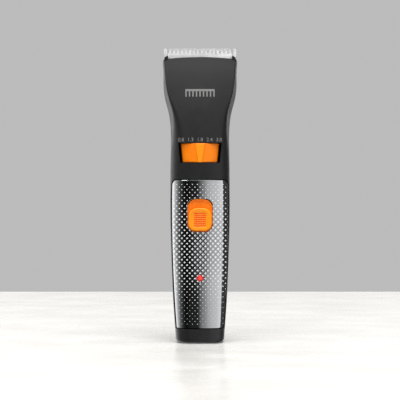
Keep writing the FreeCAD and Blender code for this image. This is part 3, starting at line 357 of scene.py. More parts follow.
DOT_ROWS = 53
DOT_TOP_MARGIN = 2.9 * MM
DOT_PITCH_UP = 1.64 * MM
DOT_PITCH_ACROSS = 3.14 * MM
DOT_RADIUS_TOP = 0.30 * MM
DOT_RADIUS_MIDDLE = 0.84 * MM
DOT_RADIUS_LOW = 0.20 * MM
ROUND_POWER = 2.0
STAR_POWER = 0.80
DOT_HEIGHT = 0.08 * MM
GROOVE_DEPTH = 0.04 * MM
GROOVE_HALF_WIDTH = 0.09         # as a share of a dot's cell
EDGE_ROUNDING = 0.35 * MM
EDGE_GAP = 0.2 * MM              # wider open line round the panel than its CAD solid leaves
RECESS_HALF = 2.6 * MM           # half-diagonal of the square recess round the lamp
RECESS_DEPTH = 0.5 * MM


def panel_half_width(tree, z):
    """Half the panel's width at one height, found by closing in on its edge."""
    inside = BEZEL_HIGH.x + 1.5 * MM
    outside = PANEL_HIGH.x + 1.0 * MM
    for _ in range(14):
        middle = (inside + outside) / 2
        y = front_of(tree, middle, z)
        if y is None:
            outside = middle
        else:
            inside = middle
    return inside


def fit_terms(across, up):
    return np.stack(
        [across ** i * up ** j for i in FIT_POWERS_ACROSS for j in FIT_POWERS_UP], axis=-1)


class FittedFront:
    """A smooth surface through the CAD panel's front, so that its mirror shows no facets."""

    def __init__(self, tree):
        self.middle = (PANEL_LOW.z + PANEL_HIGH.z) / 2
        self.reach = (PANEL_HIGH.z - PANEL_LOW.z) / 2
        heights = np.linspace(PANEL_LOW.z + 0.1 * MM, PANEL_HIGH.z - 3.2 * MM, 60)
        widths = [panel_half_width(tree, z) for z in heights]
        self.width_fit = np.polyfit(self.up(heights), widths, 3)
        across, up, depth = [], [], []
        for z in heights:
            for share in np.linspace(0.0, 0.995, 40):
                x = share * self.width(z)
                y = front_of(tree, x, z)
                if y is not None and y < -1.0 * MM:
                    across.append(share)
                    up.append(self.up(z))
                    depth.append(y)
        terms = fit_terms(np.array(across), np.array(up))
        self.factors = np.linalg.lstsq(terms, np.array(depth), rcond=None)[0]

    def up(self, z):
        return (z - self.middle) / self.reach

    def width(self, z):
        return np.polyval(self.width_fit, self.up(z))

    def y(self, x, z):
        return fit_terms(x / self.width(z), self.up(z)) @ self.factors

    def normal(self, x, z):
        step = 0.05 * MM
        slope_x = (self.y(x + step, z) - self.y(x - step, z)) / (2 * step)
        slope_z = (self.y(x, z + step) - self.y(x, z - step)) / (2 * step)
        normal = np.stack([slope_x, -np.ones_like(x), slope_z], axis=-1)
        return normal / np.linalg.norm(normal, axis=-1, keepdims=True)


def rounded_box_distance(x, z, half_x, half_z, corner):
    """How far a point lies outside a rounded rectangle. Negative inside."""
    over_x = np.abs(x) - (half_x - corner)
    over_z = np.abs(z) - (half_z - corner)
    outside = np.hypot(np.maximum(over_x, 0), np.maximum(over_z, 0))
    return outside + np.minimum(np.maximum(over_x, over_z), 0) - corner


def dot_pattern(x, z):
    """How far each point belongs to a stud and to a groove, from 0 to 1."""
    top = PANEL_HIGH.z - DOT_TOP_MARGIN
    bottom = top - (DOT_ROWS - 1) * DOT_PITCH_UP
    share = np.clip((top - z) / (top - bottom), 0.0, 1.0)
    middle = smooth_step(0.0, 0.36, share) * (1 - smooth_step(0.46, 0.86, share))
    upper_radius = DOT_RADIUS_TOP + (DOT_RADIUS_MIDDLE - DOT_RADIUS_TOP) * smooth_step(0.0, 0.4, share)
    lower_growth = 1 - smooth_step(0.42, 0.95, share)
    lower_radius = DOT_RADIUS_LOW + (DOT_RADIUS_MIDDLE - DOT_RADIUS_LOW) * lower_growth
    radius = np.where(share < 0.41, upper_radius, lower_radius)
    power = ROUND_POWER + (STAR_POWER - ROUND_POWER) * middle
    row = (top - z) / DOT_PITCH_UP
    nearest = np.full(x.shape, FAR)
    cell = np.full(x.shape, FAR)
    for candidate in (np.floor(row), np.floor(row) + 1):
        shift = np.where(candidate % 2 == 0, DOT_PITCH_ACROSS / 2, 0.0)
        offset_x = x - shift - np.round((x - shift) / DOT_PITCH_ACROSS) * DOT_PITCH_ACROSS
        offset_z = (row - candidate) * DOT_PITCH_UP
        reach = (np.abs(offset_x) ** power + np.abs(offset_z) ** power) ** (1 / power) / radius
        reach = np.where((candidate < 0) | (candidate >= DOT_ROWS), FAR, reach)
        spread = np.abs(offset_x) / (DOT_PITCH_ACROSS / 2) + np.abs(offset_z) / DOT_PITCH_UP
        nearest = np.minimum(nearest, reach)
        cell = np.minimum(cell, spread)
    stud = 1 - smooth_step(0.6, 1.0, nearest)
    # This value carries both the groove's depth and the painted shade of its colour.
    groove_and_shade = smooth_step(1 - 2 * GROOVE_HALF_WIDTH, 1.0, cell) * middle * smooth_step(1.0, 1.2, nearest)
    return stud, groove_and_shade


def rounded_edge(distance):
    """How far a surface has fallen back at a distance from its rounded edge."""
    share = 1 - np.clip(distance / EDGE_ROUNDING, 0.0, 1.0)
    return EDGE_ROUNDING * (1 - np.sqrt(1 - share ** 2))


def make_panel(surface):
    tree = tree_of("front_panel")
    lowest, highest = PANEL_LOW.z + EDGE_GAP, PANEL_HIGH.z - EDGE_GAP
    rim = EDGE_ROUNDING * (1 - np.cos(np.linspace(0, math.pi / 2, RIM_ROWS)))
    between = np.arange(lowest + EDGE_ROUNDING + PANEL_STEP, highest - EDGE_ROUNDING, PANEL_STEP)
    heights = np.concatenate([lowest + rim, between, highest - rim[::-1]])
    widths = np.array([panel_half_width(tree, min(z + EDGE_GAP, PANEL_HIGH.z)) for z in heights]) - EDGE_GAP
    span = math.radians(70)
    shares = np.sin(np.linspace(-span, span, PANEL_COLUMNS)) / math.sin(span)
    x = widths[:, None] * shares[None, :]
    z = np.repeat(heights[:, None], PANEL_COLUMNS, axis=1)
    stud, groove_and_shade = dot_pattern(x, z)
    from_lamp = np.abs(x) + np.abs(z - LAMP_Z)
    recess = 1 - smooth_step(RECESS_HALF - 0.5 * MM, RECESS_HALF, from_lamp)
    from_edge = np.minimum(widths[:, None] - np.abs(x), np.minimum(z - heights[0], heights[-1] - z))
    off_edge = smooth_step(0.3 * EDGE_ROUNDING, EDGE_ROUNDING, from_edge)
    clear = (1 - smooth_step(0.0, 0.3, recess)) * off_edge
    stud = stud * clear
    # Painted shade: the rim takes the full groove value, so it is drawn near black like the shaded gap round
    # the panel.
    groove_and_shade = np.maximum(groove_and_shade * clear, 1 - off_edge)
    relief = stud * DOT_HEIGHT - groove_and_shade * clear * GROOVE_DEPTH - recess * RECESS_DEPTH
    relief = relief - rounded_edge(from_edge)
    points = np.stack([x, surface.y(x, z), z], axis=-1) + surface.normal(x, z) * relief[..., None]
    bezel_x = (BEZEL_HIGH.x - BEZEL_LOW.x) / 2
    bezel_z = (BEZEL_HIGH.z - BEZEL_LOW.z) / 2
    bezel_middle = (BEZEL_HIGH.z + BEZEL_LOW.z) / 2
    from_bezel = rounded_box_distance(x, z - bezel_middle, bezel_x, bezel_z, BEZEL_CORNER)
    keep = (from_bezel > PANEL_GAP) & (np.hypot(x, z - LAMP_Z) > LENS_RADIUS - 0.1 * MM)
    faces = grid_faces(*x.shape, keep)
    values = np.stack([stud.reshape(-1), groove_and_shade.reshape(-1)], axis=1)
    vertices, faces, values = without_loose(points.reshape(-1, 3), faces, values)
    panel = make_object("mirror_panel", vertices, faces, panel_mirror, 60.0)
    vertex_values(panel, "stud", values[:, 0])
    vertex_values(panel, "groove_and_shade", values[:, 1])
    solidify(panel, PANEL_THICK)
    return stand_for(panel, "housing", "panel_mirror", "front_panel")


# ---- Rounded buttons: a loop that is offset inwards, ring by ring ---------------------------------

def rounded_loop(half_width, bottom, top, low_corner, high_corner, bow=0.0, count=40):
    """Points round an upright rounded rectangle, with its top edge bowed upwards. Anticlockwise."""
    corners = [
        (half_width - low_corner, bottom + low_corner, low_corner, -90),
        (half_width - high_corner, top - high_corner, high_corner, 0),
        (high_corner - half_width, top - high_corner, high_corner, 90),
        (low_corner - half_width, bottom + low_corner, low_corner, 180),
    ]
    points = []
    for index, (x, z, radius, start) in enumerate(corners):
        for step in range(count):
            angle = math.radians(start + 90.0 * step / (count - 1))
            points.append((x + radius * math.cos(angle), z + radius * math.sin(angle)))
        end_x, end_z = points[-1]
        next_x, next_z, next_radius, next_start = corners[(index + 1) % len(corners)]
        angle = math.radians(next_start)
        goal = (next_x + next_radius * math.cos(angle), next_z + next_radius * math.sin(angle))
        for step in range(1, count // 2):
            share = step / (count // 2)
            points.append((end_x + (goal[0] - end_x) * share, end_z + (goal[1] - end_z) * share))
    loop = np.array(points)
    height = top - bottom
    lift = np.clip((loop[:, 1] - (bottom + height / 2)) / (height / 2), 0, 1)
    loop[:, 1] -= bow * lift * (loop[:, 0] / half_width) ** 2
    return loop


def inset_loop(loop, distance):
    """The loop moved inwards along its own normals."""
    ahead = np.roll(loop, -1, axis=0) - np.roll(loop, 1, axis=0)
    ahead /= np.linalg.norm(ahead, axis=1, keepdims=True)
    inward = np.stack([-ahead[:, 1], ahead[:, 0]], axis=1)
    return loop + inward * distance


def capped_stack(name, rings, middle, material, smooth_angle=40.0):
    """Skins a stack of equal rings of 3-D points from the back to the front, and closes both ends."""
    count = len(rings[0])
    vertices = np.concatenate([*rings, [middle]])
    faces = []
    for level in range(len(rings) - 1):
        for step in range(count):
            following = (step + 1) % count
            low, high = level * count, (level + 1) * count
            faces.append((low + step, low + following, high + following, high + step))
    last = (len(rings) - 1) * count
    apex = len(vertices) - 1
    for step in range(count):
        faces.append((last + step, last + (step + 1) % count, apex))
    faces.append(tuple(range(count - 1, -1, -1)))
    return make_object(name, vertices, faces, material, smooth_angle)


PAD_EDGE = 0.9 * MM              # rounding of the pad's front edge
PAD_DISH = 0.35 * MM
RIB_PITCH = 1.27 * MM
RIB_COUNT = 7
RIB_HALF_LENGTH = 3.6 * MM
RIB_DEPTH = 0.30 * MM
PAD_CROWN = 0.12 * MM            # the pad's face starts this far behind its foremost edge
PAD_LOW_CORNER = 4.3 * MM
PAD_HIGH_CORNER = 5.0 * MM
PAD_BOW = 0.5 * MM
PAD_OVER_TRAY = 1.4 * MM
PAD_RINGS = 70
PAD_FADE = 0.35                  # the dish is at full depth this share of the way to the middle
STEM_HALF = 1.6 * MM
STEM_HALF_HEIGHT = 2.0 * MM
STEM_CORNER = 0.4 * MM
JOIN_OVERLAP = 0.2 * MM


def pad_relief(x, z, share, middle_z):
    """Depth of the thumb dish and of the grooves across it. Share runs from 0 at the rim to 1."""
    dish = PAD_DISH * smooth_step(0.0, 0.8, share)
    wave = 0.5 + 0.5 * np.cos(2 * math.pi * (z - middle_z) / RIB_PITCH)
    within = 1 - smooth_step(RIB_HALF_LENGTH - 0.4 * MM, RIB_HALF_LENGTH + 0.4 * MM, np.abs(x))
    limit = RIB_COUNT * RIB_PITCH / 2
    within = within * (1 - smooth_step(limit - 0.2 * MM, limit + 0.2 * MM, np.abs(z - middle_z)))
    return dish + RIB_DEPTH * wave * within


def at_depth(loop, y):
    depth = np.broadcast_to(y, len(loop))
    return np.stack([loop[:, 0], depth, loop[:, 1]], axis=1)


def make_slider():
    low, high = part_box("power_slider")
    stem_back = high.y
    front = low.y
    back = BEZEL_LOW.y + PAD_OVER_TRAY
    face = front + PAD_CROWN
    outline = rounded_loop(high.x, low.z, high.z, PAD_LOW_CORNER, PAD_HIGH_CORNER, PAD_BOW)
    rings = [at_depth(outline, back)]
    for angle in np.linspace(0, math.pi / 2, 8):
        loop = inset_loop(outline, PAD_EDGE * (1 - math.cos(angle)))
        rings.append(at_depth(loop, front + PAD_EDGE * (1 - math.sin(angle))))
    middle_z = (low.z + high.z) / 2
    rim_loop = inset_loop(outline, PAD_EDGE + 0.35 * MM)
    centre = np.array([0.0, middle_z])
    for share in np.linspace(0.0, 0.985, PAD_RINGS):
        loop = centre + (rim_loop - centre) * (1 - share)
        relief = pad_relief(loop[:, 0], loop[:, 1], share / PAD_FADE, middle_z - 0.3 * MM)
        rings.append(at_depth(loop, face + relief))
    apex = (0.0, face + PAD_DISH, middle_z)
    # Painted highlight: the whole pad takes the lighter orange.
    pad = capped_stack("slider_pad", rings, apex, highlight_orange, 50.0)
    # Painted shade: the deepest faces in the ribbed area take the darker orange.
    pad.data.materials.append(rib_shade_orange)
    centres = np.array([face.center for face in pad.data.polygons])
    low_points = centres[:, 1] - face > PAD_DISH + RIB_DEPTH * 0.15
    rib_shade = low_points & (np.abs(centres[:, 0]) < RIB_HALF_LENGTH) & (centres[:, 1] < front + PAD_EDGE)
    pad.data.polygons.foreach_set("material_index", rib_shade.astype(np.int32))
    stem_z = (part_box("switch_knob")[0].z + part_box("switch_knob")[1].z) / 2
    stem_front = back - JOIN_OVERLAP
    stem_loop = rounded_loop(
        STEM_HALF, stem_z - STEM_HALF_HEIGHT, stem_z + STEM_HALF_HEIGHT, STEM_CORNER, STEM_CORNER, count=8)
    stem_rings = [at_depth(stem_loop, stem_back), at_depth(stem_loop, stem_front)]
    stem = capped_stack("slider_stem", stem_rings, (0.0, stem_front, stem_z), orange)
    stand_for(stem, "slider", "orange_gloss")
    return stand_for(pad, "slider", "orange_gloss", "power_slider")


BEZEL_HIGH_CORNER = 5.0 * MM
BEZEL_BOW = 0.3 * MM
TRAY_DEPTH = 1.1 * MM
BEZEL_RIM = ((0.0, 0.12), (0.04, 0.04), (0.12, 0.0), (0.20, 0.0), (0.28, 0.05))   # inset, drop in mm
TRAY_WALL = ((0.36, 0.25), (0.45, 0.08), (0.65, 0.0))                             # inset, rise in mm
MARK_BELOW_TOP = 2.4 * MM
MARK_HALF = 1.0 * MM
MARK_CORNER = 0.35 * MM
MARK_LINE = 0.22 * MM
MARK_DOT_HALF = 0.3 * MM
MARK_DOT_CORNER = 0.28 * MM
MARK_SUNK = 0.05 * MM
MARK_RAISED = 0.10 * MM


def make_bezel(surface):
    outline = rounded_loop(
        BEZEL_HIGH.x, BEZEL_LOW.z, BEZEL_HIGH.z, BEZEL_CORNER, BEZEL_HIGH_CORNER, BEZEL_BOW)
    back = BEZEL_HIGH.y
    floor = BEZEL_LOW.y + TRAY_DEPTH
    rings = [at_depth(outline, back)]
    for inset, drop in BEZEL_RIM:
        loop = inset_loop(outline, inset * MM)
        rings.append(at_depth(loop, surface.y(loop[:, 0], loop[:, 1]) + drop * MM))
    for inset, rise in TRAY_WALL:
        loop = inset_loop(outline, inset * MM)
        rings.append(at_depth(loop, floor - rise * MM))
    middle_z = (BEZEL_LOW.z + BEZEL_HIGH.z) / 2
    centre = np.array([0.0, middle_z])
    inner = inset_loop(outline, TRAY_WALL[-1][0] * MM)
    for share in (0.3, 0.6, 0.85):
        rings.append(at_depth(centre + (inner - centre) * (1 - share), floor))
    bezel = capped_stack("switch_tray", rings, (0.0, floor, middle_z), orange, 35.0)
    stand_for(bezel, "housing", "orange_gloss", "switch_bezel")
    mark_z = BEZEL_HIGH.z - MARK_BELOW_TOP
    mark_back = floor + MARK_SUNK
    mark_front = floor - MARK_RAISED
    ring_out = rounded_loop(
        MARK_HALF, mark_z - MARK_HALF, mark_z + MARK_HALF, MARK_CORNER, MARK_CORNER, count=8)
    ring_in = inset_loop(ring_out, MARK_LINE)
    frame_mark = closed_band("switch_mark", ring_out, ring_in, mark_back, mark_front, orange)
    stand_for(frame_mark, "housing", "orange_gloss")
    dot = rounded_loop(
        MARK_DOT_HALF, mark_z - MARK_DOT_HALF, mark_z + MARK_DOT_HALF, MARK_DOT_CORNER, MARK_DOT_CORNER,
        count=6)
    dot_rings = [at_depth(dot, mark_back), at_depth(dot, mark_front)]
    dot_piece = capped_stack("switch_mark_dot", dot_rings, (0.0, mark_front - 0.02 * MM, mark_z), orange)
    stand_for(dot_piece, "housing", "orange_gloss")


def closed_band(name, outer, inner, back, front, material):
    """A flat frame between two loops, closed on all sides."""
    count = len(outer)
    rings = [at_depth(outer, back), at_depth(outer, front), at_depth(inner, front), at_depth(inner, back)]
    vertices = np.concatenate(rings)
    faces = []
    for level in range(4):
        for step in range(count):
            following = (step + 1) % count
            low, high = level * count, ((level + 1) % 4) * count
            faces.append((low + step, low + following, high + following, high + step))
    return make_object(name, vertices, faces, material, 30.0)


LENS_SIDES = 48
LENS_RIM = [(1.0, 2.0), (1.0, 0.25), (0.985, 0.05), (0.94, -0.10)]   # share of the radius, depth in mm
LENS_RIM_RISE = 0.10             # in mm, like the next
LENS_DOME_RISE = 0.42
LENS_DOME_SHARES = (0.86, 0.76, 0.64, 0.5, 0.36, 0.2, 0.08)


def make_lens(surface):
    """The lamp's domed lens, its value core running from 0 at the rim to 1 at the middle."""
    base = float(surface.y(np.array([0.0]), np.array([LAMP_Z]))[0])
    rings, core = [], []
    angles = np.linspace(0, 2 * math.pi, LENS_SIDES, endpoint=False)
    dome = [
        (share, -LENS_RIM_RISE - LENS_DOME_RISE * math.sqrt(1 - share ** 2)) for share in LENS_DOME_SHARES]
    for share, depth in LENS_RIM + dome:
        radius = LENS_RADIUS * share
        loop = np.stack([radius * np.cos(angles), LAMP_Z + radius * np.sin(angles)], axis=1)
        rings.append(at_depth(loop, base + depth * MM))
        core += [1 - share] * LENS_SIDES
    apex = (0.0, base - (LENS_RIM_RISE + LENS_DOME_RISE) * MM, LAMP_Z)
    lens = capped_stack("lamp_dome", rings, apex, lens_red, 60.0)
    vertex_values(lens, "core", core + [1.0])
    return stand_for(lens, "housing", "red_lens", "lamp_lens")


# ---- Length dial ---------------------------------------------------------------------------------

DIAL_LOW, DIAL_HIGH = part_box("length_dial")
RING_LOW, RING_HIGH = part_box("dial_ring")
DIAL_AXIS_Y = -1.8 * MM
GRIP_RADIUS = 16.0 * MM
GRIP_INNER_RADIUS = 14.1 * MM
GRIP_HALF_TOP = DIAL_HIGH.x
GRIP_HALF_BOTTOM = 10.5 * MM
GRIP_EDGE = 0.45 * MM
RIDGE_HEIGHT = 0.75 * MM
RIDGE_HALF_TOP = 2.6 * MM
RIDGE_HALF_BOTTOM = 1.27 * MM
RIDGE_STRAIGHT = 3.0 * MM


def make_dial():
    rows, columns = 90, 260
    heights = np.linspace(DIAL_LOW.z, DIAL_HIGH.z, rows)
    climb = (heights - DIAL_LOW.z) / (DIAL_HIGH.z - DIAL_LOW.z)
    half = GRIP_HALF_BOTTOM + (GRIP_HALF_TOP - GRIP_HALF_BOTTOM) * climb
    x = half[:, None] * np.linspace(-1, 1, columns)[None, :]
    z = np.repeat(heights[:, None], columns, axis=1)
    to_side = half[:, None] - np.abs(x)
    to_end = np.minimum(z - DIAL_LOW.z, DIAL_HIGH.z - z)
    edge = np.clip(np.minimum(to_side, to_end) / GRIP_EDGE, 0, 1)
    rounding = GRIP_EDGE * (1 - np.sqrt(1 - (1 - edge) ** 2))
    ridge_climb = np.clip((z - DIAL_LOW.z) / (DIAL_HIGH.z - RIDGE_STRAIGHT - DIAL_LOW.z), 0, 1)
    ridge_half = RIDGE_HALF_BOTTOM + (RIDGE_HALF_TOP - RIDGE_HALF_BOTTOM) * ridge_climb
    ridge = 1 - smooth_step(ridge_half - 0.30 * MM, ridge_half + 0.02 * MM, np.abs(x))
    notch = smooth_step(0.0, 0.7 * MM, DIAL_HIGH.z - z)
    hollow = 0.10 * MM * (1 - smooth_step(0.0, 1.0, np.abs(x) / ridge_half))
    radius = GRIP_RADIUS - rounding + ridge * notch * (RIDGE_HEIGHT - hollow)
    y = DIAL_AXIS_Y - np.sqrt(radius ** 2 - x ** 2)
    front = np.stack([x, y, z], axis=-1).reshape(-1, 3)
    inner_x = x * (GRIP_INNER_RADIUS / GRIP_RADIUS)
    inner_y = DIAL_AXIS_Y - np.sqrt(GRIP_INNER_RADIUS ** 2 - inner_x ** 2)
    rear = np.stack([inner_x, inner_y, z], axis=-1).reshape(-1, 3)
    faces = grid_faces(rows, columns)
    shift = rows * columns
    index = np.arange(shift).reshape(rows, columns)
    border = np.concatenate([index[0, :-1], index[:-1, -1], index[-1, :0:-1], index[:0:-1, 0]])
    walls = np.stack([np.roll(border, -1), border, border + shift, np.roll(border, -1) + shift], axis=1)
    all_faces = np.concatenate([faces, faces[:, ::-1] + shift, walls])
    dial = make_object("dial_grip", np.concatenate([front, rear]), all_faces, orange, 50.0)
    dial.data.materials.append(highlight_orange)
    # Painted highlight: the dial's raised ridge takes the lighter orange.
    centres = np.array([p.center for p in dial.data.polygons])
    ridge_highlight = np.hypot(centres[:, 0], centres[:, 1] - DIAL_AXIS_Y) > GRIP_RADIUS + 0.25 * MM
    dial.data.polygons.foreach_set("material_index", ridge_highlight.astype(np.int32))
    return stand_for(dial, "dial", "orange_gloss", "length_dial")


# ---- Printed scale and mark ----------------------------------------------------------------------

SCALE = ("0.8", "1.3", "1.8", "2.4", "3.0")
SCALE_STEP = 5.8 * MM
DIGIT_HEIGHT = 2.2 * MM


def wrapped_print(name, flat_mesh, tree):
    """Lays a flat mesh drawn in the XZ plane onto the casing's front, a print's thickness off it."""
    for vertex in flat_mesh.vertices:
        y = front_of(tree, vertex.co.x, vertex.co.z)
        vertex.co.y = y - PRINT_LIFT
    flat_mesh.materials.clear()
    flat_mesh.materials.append(print_grey)
    piece = bpy.data.objects.new(name, flat_mesh)
    bpy.context.scene.collection.objects.link(piece)
    solidify(piece, PRINT_THICK)
    return stand_for(piece, "housing", "casing_black")


def subdivide(mesh, longest):
    """Splits long edges, so that the mesh can follow a curved surface."""
    work = bmesh.new()
    work.from_mesh(mesh)
    bmesh.ops.triangulate(work, faces=work.faces)
    for _ in range(4):
        edges = [edge for edge in work.edges if edge.calc_length() > longest]
        if not edges:
            break
        bmesh.ops.subdivide_edges(work, edges=edges, cuts=1)
        bmesh.ops.triangulate(work, faces=work.faces)
    bmesh.ops.recalc_face_normals(work, faces=work.faces)
    work.to_mesh(mesh)
    work.free()


def make_scale(tree):
    middle = (len(SCALE) - 1) / 2
    for index, label in enumerate(SCALE):
        curve = bpy.data.curves.new("scale_" + str(index), "FONT")
        curve.body = label
        curve.size = DIGIT_HEIGHT / 0.70
        curve.align_x = "CENTER"
        curve.align_y = "CENTER"
        text = bpy.data.objects.new("scale_text", curve)
        mesh = bpy.data.meshes.new_from_object(text)
        bpy.data.objects.remove(text)
        place_x = (index - middle) * SCALE_STEP
        place_z = DIAL_HIGH.z + 2.1 * MM
        for vertex in mesh.vertices:
            across, upward = vertex.co.x, vertex.co.y
            vertex.co = Vector((place_x + across, 0.0, place_z + upward))
        subdivide(mesh, 0.8 * MM)
        wrapped_print("scale_number_" + str(index), mesh, tree)


COMB_MARK_HALF = 9.0 * MM
COMB_MARK_TOP = 156.0 * MM
COMB_MARK_SPINE = 1.3 * MM
COMB_MARK_TOOTH = 3.4 * MM
COMB_MARK_TEETH = 9
COMB_MARK_TOOTH_WIDTH = 0.85 * MM


def make_comb_mark(tree):
    """A plain pictogram of a comb on the head."""
    work = bmesh.new()
    bars = [(-COMB_MARK_HALF, COMB_MARK_HALF, COMB_MARK_TOP - COMB_MARK_SPINE, COMB_MARK_TOP)]
    pitch = (2 * COMB_MARK_HALF - COMB_MARK_TOOTH_WIDTH) / (COMB_MARK_TEETH - 1)
    low = COMB_MARK_TOP - COMB_MARK_SPINE - COMB_MARK_TOOTH
    for index in range(COMB_MARK_TEETH):
        left = -COMB_MARK_HALF + index * pitch
        bars.append((left, left + COMB_MARK_TOOTH_WIDTH, low, COMB_MARK_TOP - COMB_MARK_SPINE))
    for left, right, bottom, top in bars:
        corners = [(left, bottom), (right, bottom), (right, top), (left, top)]
        work.faces.new([work.verts.new((x, 0.0, z)) for x, z in corners])
    mesh = bpy.data.meshes.new("comb_mark")
    work.to_mesh(mesh)
    work.free()
    subdivide(mesh, 0.9 * MM)
    wrapped_print("comb_mark", mesh, tree)


# ---- Blades --------------------------------------------------------------------------------------

def toothed_outline(
        half, bottom, shoulder, root, tip, pitch, teeth, root_half, tip_half, stem_half, corner=None):
    """The outline of a toothed plate as (x, z) points, anticlockwise from the lower right of its stem."""
    points = [(stem_half, bottom), (stem_half, shoulder), (half, shoulder)]
    if corner:
        for step in range(9):
            angle = math.pi * step / 8
            points.append((half - corner + corner * math.cos(angle), tip - corner + corner * math.sin(angle)))
        points.append((half - 2 * corner, root))
    else:
        points.append((half, root))
    first = pitch * (teeth - 1) / 2
    for index in range(teeth):
        x = first - index * pitch
        points.append((x + root_half, root))
        for step in range(5):
            angle = math.pi * step / 4
            points.append((x + tip_half * math.cos(angle), tip - tip_half + tip_half * math.sin(angle)))
        points.append((x - root_half, root))
    if corner:
        points.append((2 * corner - half, root))
        for step in range(9):
            angle = math.pi * step / 8
            points.append((corner - half + corner * math.cos(angle), tip - corner + corner * math.sin(angle)))
    else:
        points.append((-half, root))
    points += [(-half, shoulder), (-stem_half, shoulder), (-stem_half, bottom)]
    return points


def bevelled_plate(name, outline, front, back, bevel):
    """A flat plate with a small bevel on every edge, from y = front to y = back."""
    curve = bpy.data.curves.new(name, "CURVE")
    curve.dimensions = "2D"
    curve.fill_mode = "BOTH"
    spline = curve.splines.new("POLY")
    spline.points.add(len(outline) - 1)
    for point, (x, z) in zip(spline.points, outline):
        point.co = (x, z, 0.0, 1.0)
    spline.use_cyclic_u = True
    curve.bevel_depth = bevel
    curve.bevel_resolution = 1
    curve.offset = -bevel
    curve.extrude = (back - front) / 2 - bevel
    holder = bpy.data.objects.new(name + "_curve", curve)
    mesh = bpy.data.meshes.new_from_object(holder)
    bpy.data.objects.remove(holder)
    middle = (front + back) / 2
    for vertex in mesh.vertices:
        x, z, depth = vertex.co
        vertex.co = Vector((x, middle - depth, z))
    work = bmesh.new()
    work.from_mesh(mesh)
    bmesh.ops.remove_doubles(work, verts=work.verts, dist=0.001 * MM)
    bmesh.ops.recalc_face_normals(work, faces=work.faces)
    work.to_mesh(mesh)
    work.free()
    mesh.materials.clear()
    mesh.materials.append(blade_steel)
    mesh.materials.append(slot_shade_steel)
    # Painted shade: faces turned sideways, mostly the walls between the teeth, take the dark steel.
    slot_shade = [abs(face.normal.x) > 0.5 for face in mesh.polygons]
    mesh.polygons.foreach_set("material_index", np.array(slot_shade, np.int32))
    mesh.set_sharp_from_angle(angle=math.radians(30))
    piece = bpy.data.objects.new(name, mesh)
    bpy.context.scene.collection.objects.link(piece)
    return piece


CUTTER_PITCH = 2.48 * MM
CUTTER_TEETH = 16
CUTTER_TOOTH_ROOT = 0.80 * MM    # half-widths of a tooth
CUTTER_TOOTH_TIP = 0.55 * MM
CUTTER_SHOULDER_DROP = 5.0 * MM  # below the tips, like the root drop
CUTTER_ROOT_DROP = 1.9 * MM
CUTTER_STEM_INSET = 1.65 * MM
CUTTER_BEVEL = 0.12 * MM
COMB_PITCH = 1.24 * MM
COMB_TEETH = 31
COMB_TOOTH_ROOT = 0.43 * MM
COMB_TOOTH_TIP = 0.36 * MM
COMB_SHOULDER_DROP = 5.5 * MM
COMB_ROOT_DROP = 4.6 * MM
COMB_STEM_INSET = 3.3 * MM
COMB_CORNER_RADIUS = 1.05 * MM
COMB_BEVEL = 0.13 * MM
COMB_THIN_DROP = 5.0 * MM        # from here up, the comb gets thinner towards its tips


def make_blades():
    low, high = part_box("cutter")
    cutter = toothed_outline(
        high.x, low.z, high.z - CUTTER_SHOULDER_DROP, high.z - CUTTER_ROOT_DROP, high.z, CUTTER_PITCH,
        CUTTER_TEETH, CUTTER_TOOTH_ROOT, CUTTER_TOOTH_TIP, high.x - CUTTER_STEM_INSET)
    piece = bevelled_plate("cutter_blade", cutter, low.y, high.y, CUTTER_BEVEL)
    stand_for(piece, "cutter_set", "blade_steel", "cutter")
    low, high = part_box("fixed_blade")
    comb = toothed_outline(
        high.x, low.z, high.z - COMB_SHOULDER_DROP, high.z - COMB_ROOT_DROP, high.z, COMB_PITCH,
        COMB_TEETH, COMB_TOOTH_ROOT, COMB_TOOTH_TIP, high.x - COMB_STEM_INSET, COMB_CORNER_RADIUS)
    piece = bevelled_plate("comb_blade", comb, low.y, high.y, COMB_BEVEL)
    thin_from = high.z - COMB_THIN_DROP
    for vertex in piece.data.vertices:
        share = max(vertex.co.z - thin_from, 0.0) / (high.z - thin_from)
        vertex.co.y = low.y + (vertex.co.y - low.y) * (1 - 0.5 * share)
    stand_for(piece, "comb_set", "blade_steel", "fixed_blade")


# ---- Stage ---------------------------------------------------------------------------------------

CAMERA_HEIGHT = 88.0 * MM
CAMERA_DISTANCE = 700.0 * MM
CAMERA_LENS = 101.0
TABLE_BACK = 0.377
TABLE_FRONT = -1.3
TABLE_HALF = 1.4
TABLE_THICK = 0.02


def make_table():
    corners = [
        (-TABLE_HALF, TABLE_FRONT), (TABLE_HALF, TABLE_FRONT),
        (TABLE_HALF, TABLE_BACK), (-TABLE_HALF, TABLE_BACK)]
    vertices = [(x, y, z) for z in (-TABLE_THICK, 0.0) for x, y in corners]
    faces = [(0, 3, 2, 1), (4, 5, 6, 7), (0, 1, 5, 4), (1, 2, 6, 5), (2, 3, 7, 6), (3, 0, 4, 7)]
    worktop = make_object("worktop", vertices, faces, marble("pale_worktop"), 30.0)
    worktop.visible_glossy = False


# Studio walls by direction round the clipper, in degrees from the front, positive to its right.
WALL_TONES = [
    (-180, 0.62), (-160, 0.9), (-150, 1.3), (-128, 1.3), (-120, 1.0), (-107, 0.7), (-88, 0.36), (-70, 0.13),
    (-56, 0.05), (-40, 0.015), (-24, 0.004), (-1, 0.02), (1, 0.20), (3, 0.28), (6, 0.45), (16, 0.55),
    (44, 0.63), (70, 0.76), (80, 0.85), (84, 0.06), (146, 0.03), (152, 0.8), (160, 0.9), (180, 0.62),
]


CEILING_TONE = 1.1
CEILING_FROM, CEILING_TO = 0.50, 0.80   # the walls turn into the ceiling between these upward slopes
BACKDROP_TONE = 0.50             # what is seen straight past the clipper, from any side


